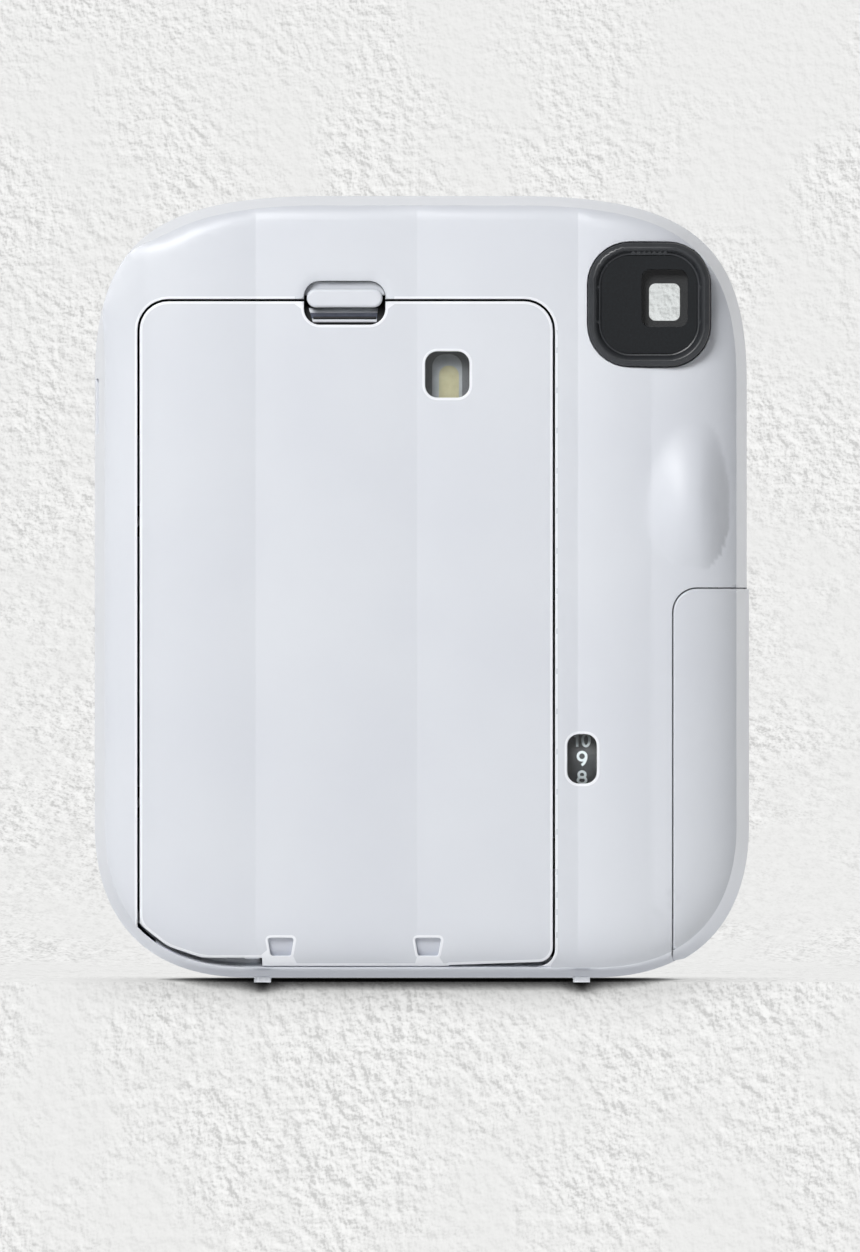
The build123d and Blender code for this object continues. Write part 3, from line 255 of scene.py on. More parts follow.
# %% [markdown]
# ## Things that the film needs
# The gears are natural nylon, slightly waxy. The film pack is black styrene with a grey label
# and a yellow mark, the sheets are coated card, and the board carries green solder mask.

# %% Nylon, styrene, card, solder mask and sleeves
finish_rows([
    ("natural_nylon", "#E6E2D6", 0.45, 1.53, (0.5, 0.008), None,
     ("Subsurface_Weight", 0.15), ("Subsurface_Scale", 0.001)),
    ("pack_styrene", "#3C3E41", 0.5, 1.59, (0.3, 0.02), (3, "#36383B", "#434548")),
    ("printed_yellow_mark", "#8C8768", 0.5, 1.5, None, (1.2, "#878263", "#918C6E")),
    ("grey_pack_label", "#7C7F83", 0.45, 1.5, None, (1.5, "#787B7F", "#818488")),
    ("white_pad_ink", "#C9D0D2", 0.5, 1.5, (0.1, 0.004), None),
    # a darker grey for the rows of the finger grip that face down, painted shade
    ("painted_shade_grip_ABS", "#656B7C", 0.35, 1.53, None, (1.0, "#606677", "#6A7081")),
    ("coated_card", "#EEEDE8", 0.5, 1.5, None, (6, "#E8E7E1", "#F2F1EC")),
    ("green_solder_mask", "#1E5A3A", 0.25, 1.55, None, (2.5, "#1A5234", "#246342")),
    ("printed_cell_wrap", "#2E3338", 0.3, 1.5, None, (9, "#2A2F34", "#343A40")),
    ("shrunk_PVC_sleeve", "#20242C", 0.3, 1.54, None, (5, "#1C2028", "#262B34")),
])

# %% [markdown]
# ## From the record's slots to finishes
# The imported record says which slot each node is made of. One table turns a slot into a finish,
# and each CAD node that stays in view takes its own. Read backwards, the table tells which slot
# a finish belongs to, but nothing in this script reads it.

# %% Dress the CAD nodes
slot_finish = {
    "white_abs": "moulded_white_ABS", "pale_trim": "pale_ABS_and_pocket_shade",
    "black_abs": "black_ABS_and_seam_shade",
    "soft_black": "soft_black_elastomer", "clear_acrylic": "clear_acrylic",
    "optical_glass": "coated_glass", "silver_trim": "satin_silver_paint",
    "mirror_face": "vacuum_coated_mirror", "steel": "drawn_steel", "nickel": "nickel_plate",
    "brass": "turned_brass", "grip_rubber": "ground_rubber", "seal_foam": "open_cell_foam",
    "nylon": "natural_nylon", "pack_plastic": "pack_styrene", "pack_yellow": "printed_yellow_mark",
    "film_card": "coated_card", "board_green": "green_solder_mask",
    "cell_wrap": "printed_cell_wrap", "capacitor_sleeve": "shrunk_PVC_sleeve",
}
slot_of = {kept: slot for slot, kept in slot_finish.items()}
slot_of.update({"pale_ABS_and_pocket_shade": "pale_trim", "spark_grained_black_ABS": "black_abs",
                "grey_pack_label": "pack_plastic", "white_pad_ink": "white_abs"})


def wear(piece, finish_name):
    """Gives a whole piece one finish."""
    piece.data.materials.clear()
    piece.data.materials.append(finishes[finish_name])


for part in frame["record"]["subparts"]:
    wear(nodes[part["node"]], slot_finish[part["material_slot"]])
wear(nodes["eyepiece_plate"], "spark_grained_black_ABS")
for name in ("eyepiece_lens", "finder_front_window"):
    wear(nodes[name], "clear_acrylic")
wear(nodes["door_latch"], "moulded_white_ABS")
nodes["door_latch"].data.materials.append(finishes["black_ABS_and_seam_shade"])
finger_bar_back = -0.0293     # metres: what lies deeper than the finger bar is black
for face in nodes["door_latch"].data.polygons:
    face.material_index = int(face.center.y > finger_bar_back)
print("dressed", len(nodes), "nodes")

# %% The helper that makes a new piece


def new_piece(name, places, faces, *finish_names, unit=MM):
    """A mesh object in the scene. Its places are in mm, unless `unit` says otherwise."""
    mesh = bpy.data.meshes.new(name)
    mesh.from_pydata(np.array(places, float) * unit, [], faces)
    for finish_name in finish_names:
        mesh.materials.append(finishes[finish_name])
    piece = bpy.data.objects.new(name, mesh)
    bpy.context.scene.collection.objects.link(piece)
    return piece


print("ready to make pieces")

# %% [markdown]
# ## The view, the lamps and the stage
# The object is seen square-on from behind, from so far away that its sides hardly taper. A
# long lens does that without an orthographic projection. The main light is one broad soft lamp
# near the viewer, a little to the left and above. Three weaker lamps behind the object trace
# its edges, and the world adds a little light from all round.

# %% Camera
view_distance = 5.5           # metres from the back of the object
view_reach = 20.0             # metres that the lens sees in all
picture_height = 195.0        # mm of the object's back plane that the picture covers
view_centre = Vector((1.25, 0, 55.6)) * MM
sensor_height = 36.0

lens_data = bpy.data.cameras.new("view")
lens_data.sensor_fit = "VERTICAL"
lens_data.sensor_height = sensor_height
lens_data.lens = sensor_height * view_distance / (picture_height * MM)
lens_data.clip_end = view_reach
viewer = bpy.data.objects.new("view", lens_data)
viewer.location = (view_centre.x, cad_low.y - view_distance, view_centre.z)
viewer.rotation_euler = (math.radians(90), 0, 0)
bpy.context.scene.collection.objects.link(viewer)
bpy.context.scene.camera = viewer
print("focal length in mm:", round(lens_data.lens))

# %% Lamps
heart = Vector((0, 0, 0.06))              # the middle of the object, in metres
lamps = [                                 # name, place and width in metres, watts
    ("key_lamp", (-0.42, -1.08, 0.74), 0.45, 15.5),
    ("top_strip", (0.0, 0.75, 0.75), 0.5, 3.0),
    ("left_strip", (-0.55, 0.8, 0.2), 0.5, 2.2),
    ("right_strip", (0.55, 0.8, 0.2), 0.5, 2.2),
]
for name, place, wide, watts in lamps:
    data = bpy.data.lights.new(name, "AREA")
    data.size, data.energy = wide, watts
    piece = bpy.data.objects.new(name, data)
    piece.location = place
    piece.rotation_euler = (heart - Vector(place)).to_track_quat("-Z", "Y").to_euler()
    bpy.context.scene.collection.objects.link(piece)
print("lamps:", len(lamps))

# %% World
direct = ("Is Camera Ray", "Is Glossy Ray", "Is Transmission Ray")


def reckon(tree, operation, *wires):
    """The result of one sum, ready to link from."""
    return add(tree, "Math", *wires, settings={"operation": operation}), 0


def rays(tree, *kinds):
    """One for a ray of any of these kinds, and zero for others."""
    seen = add(tree, "LightPath")
    found = seen, kinds[0]
    for kind in kinds[1:]:
        found = reckon(tree, "MAXIMUM", found, (seen, kind))
    return found


world = bpy.data.worlds.new("studio")
world.use_nodes = True
room = world.node_tree
fill = add(room, "Background", Color=linear("#EEF1F8"), Strength=0.05)
pale = add(room, "Background", Color=linear("#E4E5E7"), Strength=0.6)
show(room, add(room, "MixShader", rays(room, *direct), (fill, 0), (pale, 0)))
bpy.context.scene.world = world
bpy.context.scene.view_settings.view_transform = "Standard"
print("world ready")

# %% [markdown]
# The stage is a wall of pale stippled plaster and a floor of the same. The floor is level under
# the object and falls away in front of it, so that the soft contact shadow under the casing can
# be seen, and a wide curve joins floor and wall. The wall glows for rays that come straight from
# the viewer, off a mirror or through glass. It is open from behind and for shadow rays, because
# the weaker lamps stand beyond it. The floor glows too, but less where something is close above
# it, so it keeps the shadow, and it throws a little light back up at the object.

# %% Plaster


def plaster(tree, flat=1.0):
    """Stippled plaster with painted light from the upper right: crumbs 1 mm wide in loose fields,
    and between them smooth trowelled places. `flat` squeezes the pattern along y, for a floor seen
    low."""
    squeeze = (1.0, flat, 1.0)
    aside = (0.22 * MM, 0.1 * MM * (1 - flat), 0.26 * MM)
    here = noise_on(tree, 1.9, 4.0, squeeze, Roughness=0.62)
    beside = noise_on(tree, 1.9, 4.0, squeeze, aside, Roughness=0.62)
    # the noise minus the same noise shifted a little paints each crumb's lit and shaded sides
    painted_relief = reckon(tree, "SUBTRACT", (here, "Fac"), (beside, "Fac"))
    fields = noise_on(tree, 34, 3.0, squeeze, Roughness=0.6)
    share = add(tree, "MapRange", (fields, "Fac"), 0.4, 0.6, 0.25, 1.1)
    shade = add(tree, "ValToRGB", reckon(tree, "MULTIPLY_ADD", painted_relief, (share, "Result"), 0.5))
    ramp = shade.color_ramp
    ramp.elements[0].position, ramp.elements[0].color = 0.39, linear("#CFCFCE")
    ramp.elements[1].position, ramp.elements[1].color = 0.61, linear("#FAFAF9")
    ramp.elements.new(0.5).color = linear("#EDEDEC")
    return shade, "Color"


tree, shader = finish("pale_plaster", "#F0F0EE", 0.9)
glow = add(tree, "Emission", Color=plaster(tree), Strength=1.0)
wall = add(tree, "MixShader", rays(tree, *direct), (shader, 0), (glow, 0))
open_way, side = add(tree, "BsdfTransparent"), add(tree, "NewGeometry")
beyond = reckon(tree, "MAXIMUM", (side, "Backfacing"), rays(tree, "Is Shadow Ray"))
show(tree, add(tree, "MixShader", beyond, (wall, 0), (open_way, 0)))


def floor_finish(name, flat):
    """The plaster of the floor, which shows the shadow of what stands on it or close over it."""
    tree, shader = finish(name, "#E8E8E6", 0.9)
    shades = []
    for reach, power in ((0.0034, 1.5), (0.017, 0.22)):      # a dark line of contact, a soft halo
        cover = add(tree, "AmbientOcclusion", settings={"samples": 12}, Distance=reach)
        shades.append(reckon(tree, "POWER", (cover, "AO"), power))
    glow = add(tree, "Emission", plaster(tree, flat), reckon(tree, "MULTIPLY", *shades))
    bounce = add(tree, "Emission", Color=linear("#F4F6FA"), Strength=0.13)
    # seen in a mirror the floor is a steady glow, a painted reflection that brightens the casing's
    # lower sides
    sheen = add(tree, "Emission", Color=linear("#E9EBF0"), Strength=1.15)
    lit = add(tree, "AddShader", (shader, 0), (bounce, 0))
    mirrored = add(tree, "MixShader", rays(tree, "Is Glossy Ray"), (lit, 0), (sheen, 0))
    straight_on = rays(tree, "Is Camera Ray", "Is Transmission Ray")
    show(tree, add(tree, "MixShader", straight_on, (mirrored, 0), (glow, 0)))


floor_finish("plaster_floor", 1.0)
floor_finish("plaster_apron", 0.01)
print("plaster ready")

# %% Floor and backdrop, in metres
half_width = 3.0
fall_start, fall_slope = -0.018, 0.28     # where the floor starts to fall towards the viewer
floor_near, floor_far = -1.2, 0.016
floor_rise = 0.0004           # a trace of a rise, which closes the line of sight under the feet
cove_start, cove_radius = 0.2, 0.14       # where the floor curves up into the wall
wall_top = 3.0


def stage_sheet(name, rows, finish_name):
    """A wide sheet through the given (y, z) places."""
    corners = [(x, y, z) for y, z in rows for x in (-half_width, half_width)]
    faces = [(2 * k, 2 * k + 1, 2 * k + 3, 2 * k + 2) for k in range(len(rows) - 1)]
    sheet = new_piece(name, corners, faces, finish_name, unit=1.0)


edge = (fall_start, 0.0)
stage_sheet("apron", [(floor_near, (floor_near - fall_start) * fall_slope), edge], "plaster_apron")
stage_sheet("floor", [edge, (floor_far, floor_rise), (cove_start, floor_rise)], "plaster_floor")
cove = [(cove_start + cove_radius * math.sin(math.radians(a)),
         floor_rise + cove_radius * (1 - math.cos(math.radians(a)))) for a in range(0, 91, 5)]
stage_sheet("backdrop", cove + [(cove_start + cove_radius, wall_top)], "pale_plaster")
print("stage ready")

# %% [markdown]
# ## The form of the back
# Now the shapes. The casing is a soft rounded block whose back face is fluted and rolls away
# towards each edge, up to a crisp crease where the drafted sides begin. We describe that as
# functions: an outline made of straights and Bezier corners, and a height over it. Every skin
# is then a patch of the same function, so the patches meet without a step.

# %% Measures of the casing, in mm
cover_low, cover_high = (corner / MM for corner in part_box("rear_cover"))
door_low, door_high = (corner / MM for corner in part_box("film_door"))
left_side, right_side = cover_low.x, cover_high.x
body_top, body_base = cover_high.z, 0.5
parting_y = cover_high.y
flute_rise = 0.3
flute_depth = 0.42            # the skin shows its valleys a little deeper
back_y = door_low.y + flute_rise
side_draft = 1.85
flute_stops = [left_side + stop for stop in (8.85, 25.4, 50.5, 75.6, 86.85)]

# Each side's roll has a width and a fall. Each pair of corners has its run along the top or
# base, its drop down the side, and its fullness.
rolls = {"left": (7.0, 2.5), "right": (13.5, 4.9), "top": (2.6, 0.8), "base": (7.6, 3.6)}
top_corner = (36.0, 29.0, 0.75)
base_corner = (24.0, 24.0, 0.645)
print("casing:", [round(v, 2) for v in (left_side, right_side, body_top)])

# %% The outline as a ring of points
corner_steps = 44
side_steps = 48


def bezier(start, corner, end, pull, steps):
    """Points along a full, soft corner, without its last point."""
    start, corner, end = (np.array(p, float) for p in (start, corner, end))
    t = np.linspace(0, 1, steps, endpoint=False)[:, None]
    first = start + (corner - start) * pull
    second = end + (corner - end) * pull
    return ((1 - t) ** 3 * start + 3 * (1 - t) ** 2 * t * first
            + 3 * (1 - t) * t * t * second + t ** 3 * end)


def straight(start, end, steps):
    """Points along a line, without its last point."""
    t = np.linspace(0, 1, steps, endpoint=False)[:, None]
    return np.array(start, float) * (1 - t) + np.array(end, float) * t


def outline(inset):
    """The casing's outline as (x, z) points, clockwise as seen from behind, from the lower left."""
    left, right = left_side + inset, right_side - inset
    top, base = body_top - inset, body_base + inset
    run, drop, fullness = top_corner[0] - inset, top_corner[1] - inset, top_corner[2]
    low, soft = base_corner[0] - inset, base_corner[2]
    return np.concatenate([
        straight((left, base + low), (left, top - drop), side_steps),
        bezier((left, top - drop), (left, top), (left + run, top), fullness, corner_steps),
        straight((left + run, top), (right - run, top), side_steps // 2),
        bezier((right - run, top), (right, top), (right, top - drop), fullness, corner_steps),
        straight((right, top - drop), (right, base + low), side_steps),
        bezier((right, base + low), (right, base), (right - low, base), soft, corner_steps),
        straight((right - low, base), (left + low, base), side_steps // 2),
        bezier((left + low, base), (left, base), (left, base + low), soft, corner_steps),
    ])


rim = outline(side_draft)             # the crease, at the level of the back face
root = outline(0.0)                   # the widest line, where the two covers meet
strap_span = side_steps + 1 + np.arange(26)      # where the strap side swells out to the edge
swell_share = 0.75
swell = np.zeros(len(rim))
swell[strap_span] = np.clip(1.5 * np.sin(np.linspace(0, math.pi, len(strap_span))) ** 2, 0, 1)
rim = rim + (root - rim) * swell_share * swell[:, None]
print("points round the outline:", len(rim))

# %% [markdown]
# The rolls fall away over a different width on each side. Near a corner the two neighbours
# are mixed by the direction in which the outline faces, so that the roll turns the corner
# smoothly. The fall itself is the curve that the mould has: steep at the crease, flat inside.

# %% The height of the back face
ahead = np.roll(rim, -1, axis=0) - np.roll(rim, 1, axis=0)
facing = np.stack([-ahead[:, 1], ahead[:, 0]], axis=1)
facing /= np.linalg.norm(facing, axis=1)[:, None]
ways = {"left": (-1, 0), "right": (1, 0), "top": (0, 1), "base": (0, -1)}
shares = {side: np.maximum(facing @ way, 0) ** 2 for side, way in ways.items()}
roll_width, roll_fall = (sum(share * rolls[side][k] for side, share in shares.items())
                         for k in (0, 1))
roll_fall *= 1 - swell_share * swell


def nearest(points, starts, ends):
    """For each point: its nearest segment, how far along that, the step away and its length."""
    runs = ends - starts
    length = np.maximum((runs ** 2).sum(1), 1e-12)
    found = []
    for chunk in np.array_split(points, max(1, len(points) // 1500)):
        away = chunk[:, None] - starts[None]
        along = np.clip((away * runs).sum(2) / length, 0, 1)
        away = away - along[:, :, None] * runs
        far = np.linalg.norm(away, axis=2)
        near, each = far.argmin(1), np.arange(len(chunk))
        found.append((near, along[each, near], away[each, near], far[each, near]))
    return (np.concatenate(part) for part in zip(*found))


def from_rim(points):
    """How far inside the crease each point is, and the width and fall of the roll there."""
    ends = np.roll(rim, -1, axis=0)
    near, part, _, gap = nearest(points, rim, ends)
    run = (ends - rim)[near]
    side = ((points - rim[near]) * np.stack([run[:, 1], -run[:, 0]], axis=1)).sum(1)
    after = (near + 1) % len(rim)
    width, fall = (roll[near] * (1 - part) + roll[after] * part for roll in (roll_width, roll_fall))
    return np.where(side < 0, -gap, gap), width, fall


def flutes(x):
    """How far the shallow convex flutes stand out at x."""
    rise = np.zeros_like(x)
    for near, far in zip(flute_stops, flute_stops[1:]):
        across = (x - near) / (far - near) * 2 - 1
        rise = np.where(np.abs(across) < 1, flute_depth * (1 - across ** 2), rise)
    return rise - (flute_depth - flute_rise)


thumb_crest = (42.9, 73.4)            # the highest place of the thumb rest
thumb_reach = {"left": 8.4, "right": 5.1, "up": 15.0, "down": 9.2}
thumb_rise = 2.45


def thumb_rest(x, z):
    """How far the swelling stands out. `lee` is one to the side and below, where it is steep."""
    u, v = x - thumb_crest[0], z - thumb_crest[1]
    u = u / np.where(u < 0, thumb_reach["left"], thumb_reach["right"])
    v = v / np.where(v < 0, thumb_reach["down"], thumb_reach["up"])
    far = np.sqrt(u * u + v * v)
    lee = np.clip((0.8 * u - 0.6 * v) / np.maximum(far, 1e-6) * 0.5 + 0.5, 0, 1)
    share = np.clip(1 - far ** 2, 0, 1)
    return thumb_rise * share ** (2.0 - 0.95 * lee)


def back_height(points):
    """The depth y of the back face at each (x, z) point, in mm."""
    x, z = points[:, 0], points[:, 1]
    distance, width, fall = from_rim(points)
    share = np.clip(distance / width, -0.15, 1)
    bend = (np.sqrt(0.36 + 1.6 * share) - 0.6) / 0.8       # from 0 to 1, fastest at the crease
    level = (1 - bend) ** 2
    return back_y - flutes(x) * (1 - level) + fall * level - thumb_rest(x, z)


print("depth at the middle and near the right edge:",
      back_height(np.array([[0.0, 60.0], [right_side - 4, 60.0]])).round(2))

# %% [markdown]
# ## Patches of skin
# A patch is cut out of the back face by closed loops, always with the patch on their right
# hand. Where a loop follows a seam, the edge is rounded like a moulded one and a wall runs down
# from it. The rim beside a seam takes a lighter finish, a painted highlight, and the walls of the
# door and battery seams a black one, painted shade, so a seam shows as a dark line between two
# bright rims. The normals come from the functions themselves rather than from the triangles,
# which keeps wide soft surfaces clean.

# %% Loops with rounded corners


def rounded(corners, radii, steps=9):
    """The closed polygon through (x, z) corners, each rounded with its own radius."""
    corners = [np.array(c, float) for c in corners]
    ring = []
    for k, corner in enumerate(corners):
        before, after, r = corners[k - 1], corners[(k + 1) % len(corners)], radii[k]
        into = (corner - before) / np.linalg.norm(corner - before)
        out = (after - corner) / np.linalg.norm(after - corner)
        turn = math.acos(max(-1.0, min(1.0, float(into @ out))))
        if r <= 0 or turn < 0.02:
            ring.append(corner)
            continue
        reach = r * math.tan(turn / 2)
        start, end = corner - into * reach, corner + out * reach
        clockwise = into[0] * out[1] - into[1] * out[0] < 0
        side = np.array([into[1], -into[0]]) if clockwise else np.array([-into[1], into[0]])
        centre = start + side * r
        for t in np.linspace(0, 1, steps):
            spot = (start - centre) * math.sin((1 - t) * turn) + (end - centre) * math.sin(t * turn)
            ring.append(centre + spot / math.sin(turn))
    return np.array(ring)


def thicken(loop, mask, step=0.9):
    """The closed loop and its mask with extra points, none further apart than `step`."""
    ring, flags = [], []
    for here, after, one, two in zip(loop, np.roll(loop, -1, axis=0), mask, np.roll(mask, -1)):
        count = max(1, math.ceil(np.linalg.norm(after - here) / step))
        ring += [here + (after - here) * k / count for k in range(count)]
        flags += [one] + [one and two] * (count - 1)
    return np.array(ring), np.array(flags)


def soft_box(x, z, wide, high, r, clockwise=True, steps=9):
    """A rounded rectangle about (x, z)."""
    w, h = wide / 2, high / 2
    corners = [(x - w, z - h), (x - w, z + h), (x + w, z + h), (x + w, z - h)]
    ring = rounded(corners, [r] * 4, steps)
    return ring if clockwise else ring[::-1]


def whole(loops):
    """Soft edges all round every loop."""
    return [np.ones(len(loop), bool) for loop in loops]


def inside(points, loops):
    """Which points lie inside an odd number of the loops."""
    x, z = points[:, 0][:, None], points[:, 1][:, None]
    count = np.zeros(len(points), int)
    for loop in loops:
        a, b = loop, np.roll(loop, -1, axis=0)
        level = np.where(a[:, 1] == b[:, 1], 1e-9, b[:, 1] - a[:, 1])
        at = a[:, 0] + (z - a[:, 1]) * (b[:, 0] - a[:, 0]) / level
        count += (((a[:, 1] > z) != (b[:, 1] > z)) & (x < at)).sum(1)
    return count % 2 == 1


def away_from(points, starts, ends, normals):
    """Distance from each point to the nearest segment, and the direction away from it."""
    near, _, away, distance = nearest(points, starts, ends)
    step = away / np.maximum(distance, 1e-6)[:, None]
    return distance, np.where(distance[:, None] < 1e-4, normals[near], step)


def triangulate(spots, loops, tolerance):
    """Triangles between the spots that lie inside the loops. The loops' own points come first."""
    edges, base = [], 0
    for loop in loops:
        edges += [(base + k, base + (k + 1) % len(loop)) for k in range(len(loop))]
        base += len(loop)
    done = delaunay_2d_cdt([Vector(p) for p in spots], edges, [], 0, tolerance)
    flat = np.array([tuple(v) for v in done[0]])
    faces = np.array([f for f in done[2] if len(f) == 3])
    faces = faces[inside(flat[faces].mean(1), loops)]
    area = np.cross(flat[faces[:, 1]] - flat[faces[:, 0]], flat[faces[:, 2]] - flat[faces[:, 0]])
    faces[area < 0] = faces[area < 0][:, ::-1]
    return flat, faces


print("a rounded square has", len(soft_box(0, 0, 2, 2, 0.5)), "points")

# %% The net of points that a patch is made of
edge_shares = (0.1, 0.3, 0.6, 1.0)
highlight_rim_reach = 0.42              # how far the painted highlight along a seam reaches
valley_half = 0.14            # the net is this close beside the valley between two flutes
thumb_net = [(x, z) for x in np.arange(thumb_crest[0] - 8, thumb_crest[0] + 7, 0.55)
             for z in np.arange(thumb_crest[1] - 12, thumb_crest[1] + 14, 0.7)]


def net_points(loops, ring, ring_out, radius, spacing):
    """The loops' points, an even net, a finer one on the thumb rest, and rows along soft edges."""
    everything = np.concatenate(loops)
    low, high = everything.min(0), everything.max(0)
    columns = list(np.arange(low[0], high[0], spacing))
    for valley in flute_stops[1:4]:
        columns = [c for c in columns if abs(c - valley) > 0.7]
        columns += [valley - valley_half, valley, valley + valley_half]
    rows = np.arange(low[1], high[1], spacing)
    grid = np.array([(x, z) for x in columns for z in rows if low[0] < x < high[0]])
    grid = np.concatenate([grid, thumb_net])
    grid = grid[inside(grid, loops)]
    last = np.concatenate([np.roll(loop, -1, axis=0) for loop in loops])
    grid = grid[away_from(grid, everything, last, everything)[0] > highlight_rim_reach + 0.3]
    bands = []
    for step in [radius * share for share in edge_shares] + [highlight_rim_reach]:
        points = ring + ring_out * step
        points = points[inside(points, loops)]
        clear = away_from(points, everything, last, everything)[0]
        bands.append(points[clear > step * 0.8])
    return np.concatenate([everything, grid] + bands)


print("fine net on the thumb rest:", len(thumb_net), "points")

# %% A patch
seam_shade_base = 9.5              # seam walls are painted black, as shade, only above the hinge
nudge = 0.03                  # the step over which a slope is measured


def patch(loops, soft, height, radius=0.16, depth=1.1, spacing=1.25, no_highlight=None, walls=(0,)):
    """Triangles of the surface y = height(points) inside the loops, in mm: places, normals, faces.
    `soft` tells for each loop which of its points get a rounded edge and a wall; the optional
    function of points tells where that edge doesn't get the painted highlight, and `walls` gives
    the finish index of a loop's wall, where 2 paints it black as shade."""
    loops, soft = zip(*(thicken(loop, mask) for loop, mask in zip(loops, soft)))
    starts, ends, normals, ring, ring_out, wall_index = [], [], [], [], [], []
    for k, (loop, mask) in enumerate(zip(loops, soft)):
        after = np.roll(loop, -1, axis=0)
        run = after - loop
        run /= np.maximum(np.linalg.norm(run, axis=1), 1e-9)[:, None]
        right = np.stack([run[:, 1], -run[:, 0]], axis=1)
        keep = mask & np.roll(mask, -1)
        for part, values in zip((starts, ends, normals), (loop, after, right)):
            part.append(values[keep])
        wall_index += [walls[min(k, len(walls) - 1)]] * int(keep.sum())
        corner = right + np.roll(right, 1, axis=0)
        corner /= np.maximum(np.linalg.norm(corner, axis=1), 1e-9)[:, None]
        ring.append(loop[mask])
        ring_out.append(corner[mask])
    starts, ends, normals = map(np.concatenate, (starts, ends, normals))
    ring, ring_out = np.concatenate(ring), np.concatenate(ring_out)

    spots = net_points(loops, ring, ring_out, radius, spacing)
    flat, faces = triangulate(spots, loops, 1e-4)

    y = height(flat)
    slope = np.stack([(height(flat + shift) - height(flat - shift)) / (2 * nudge)
                      for shift in ((nudge, 0), (0, nudge))], axis=1)
    distance, direction = away_from(flat, starts, ends, normals)
    lack = np.clip(radius - distance, 0, radius)          # the edge is a quarter of a circle
    level = np.sqrt(np.maximum(radius ** 2 - lack ** 2, 0))
    y = y + radius - level
    slope -= direction * (lack / np.maximum(level, radius * 0.05))[:, None]
    normal = np.stack([slope[:, 0], -np.ones(len(flat)), slope[:, 1]], axis=1)
    normal /= np.linalg.norm(normal, axis=1)[:, None]

    # faces close to a seam take index 1, the painted highlight, where the optional function allows
    beside = (distance[faces] < highlight_rim_reach + 0.01).all(1)
    if no_highlight:
        beside &= ~no_highlight(flat[faces].mean(1))
    painted_light_index = [int(b) for b in beside]
    places, normal = [np.stack([flat[:, 0], y, flat[:, 1]], axis=1)], [normal]
    faces = [list(f) for f in faces]
    base = len(flat)
    top = height(starts) + radius, height(ends) + radius
    for k in range(len(starts)):
        (ax, az), (bx, bz), out = starts[k], ends[k], normals[k]
        ay, by = top[0][k], top[1][k]
        places.append([(ax, ay, az), (bx, by, bz), (bx, by + depth, bz), (ax, ay + depth, az)])
        normal.append([(-out[0], 0, -out[1])] * 4)
        faces.append([base, base + 1, base + 2, base + 3])
        # walls above the hinge take their loop's index, and 2 paints them black as shade
        painted_light_index.append(wall_index[k] if az > seam_shade_base else 0)
        base += 4
    return np.concatenate(places), np.concatenate(normal), faces, painted_light_index


def skin(name, pieces, body, finish_name, rim_finish="painted_highlight_white_ABS"):
    """One object from (places, normals, faces, finish index) groups in mm, riding a body. Index 1
    takes the second finish: a painted highlight along the seams of a shell, painted shade on the
    finger grip. Index 2 is black ABS, which on the walls of a seam is painted shade."""
    base, faces, index = 0, [], []
    for places, normals, group, painted_light_index in pieces:
        faces += [[v + base for v in face] for face in group]
        index += painted_light_index
        base += len(places)
    places, normals = (np.concatenate([piece[k] for piece in pieces]) for k in (0, 1))
    piece = new_piece(name, places, faces, finish_name, rim_finish, "black_ABS_and_seam_shade")
    piece.data.polygons.foreach_set("use_smooth", [True] * len(faces))
    piece.data.polygons.foreach_set("material_index", index)
    piece.data.normals_split_custom_set_from_vertices(normals)
    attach(piece, body)
    return piece


print("patch tools ready")

# %% [markdown]
# ## The three skins of the back
# The rear cover, the film door and the battery cover share one form. The door is a patch with
# its own soft edge, the battery cover stands 0.12 mm proud and wraps round the side, and the rear
# cover takes the rest. Under the door the cover has only its drafted band, because the door's
# lower edge swings through there.

# %% Places on the back, in mm
seam = 0.35
fine_seam = 0.09
door_left, door_right = door_low.x, door_high.x
door_top = door_high.z
tab_left, tab_right = door_left + 19.1, door_left + 48.2
latch_x, latch_z = (door_left + door_right) / 2 - 0.25, door_top - 0.1
well_wide, well_tall, well_r = 12.7, 6.8, 2.5
well_left, well_right = latch_x - well_wide / 2, latch_x + well_wide / 2
well_top, well_base = latch_z - 0.15 + well_tall / 2, latch_z - 0.15 - well_tall / 2
eye_low, eye_high = (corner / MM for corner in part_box("eyepiece_ring"))
eye_x, eye_z = (eye_low.x + eye_high.x) / 2, (eye_low.z + eye_high.z) / 2
eye_wide, eye_tall, eye_r = eye_high.x - eye_low.x, eye_high.z - eye_low.z, 6.5
latch_low, latch_high = (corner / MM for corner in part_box("door_latch"))
check_low, check_high = (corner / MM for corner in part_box("check_window"))
count_low, count_high = (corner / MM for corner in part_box("counter_window"))
count_x, count_z = (count_low.x + count_high.x) / 2, (count_low.z + count_high.z) / 2
check_x, check_z = door_right - 16.45, door_top - 11.4
battery_x, battery_z = right_side - 11.8, 61.5
print("seams at", round(door_left, 1), round(door_right, 1), round(battery_x, 1))
print("room beside the latch bar and above the check window:",
      round(latch_low.x - well_left, 1), round(well_right - latch_high.x, 1),
      round(door_top - check_high.z, 1), "out of", round(door_top - check_low.z, 1))

# %% The battery cover's corner in the outline
ring_count = len(rim)
right_first = side_steps + 2 * corner_steps + side_steps // 2
right_last = right_first + side_steps
seam_top = min(range(right_first, right_last), key=lambda k: abs(rim[k][1] - battery_z))
low_run = range(right_last, right_last + corner_steps)
seam_low = min(low_run, key=lambda k: abs(rim[k][0] - battery_x))
battery_r = 3.8


def battery_line(shift):
    """The battery seam from the side, round its soft corner and down, moved out by `shift`."""
    x, z, r = battery_x - shift, battery_z + shift, battery_r + shift
    top, low = rim[seam_top], rim[seam_low]
    turn = np.linspace(0, math.pi / 2, 14)
    bend = np.stack([x + r - r * np.sin(turn), z - r + r * np.cos(turn)], axis=1)
    return np.concatenate([[(top[0], z)], bend, [(x, low[1])]])


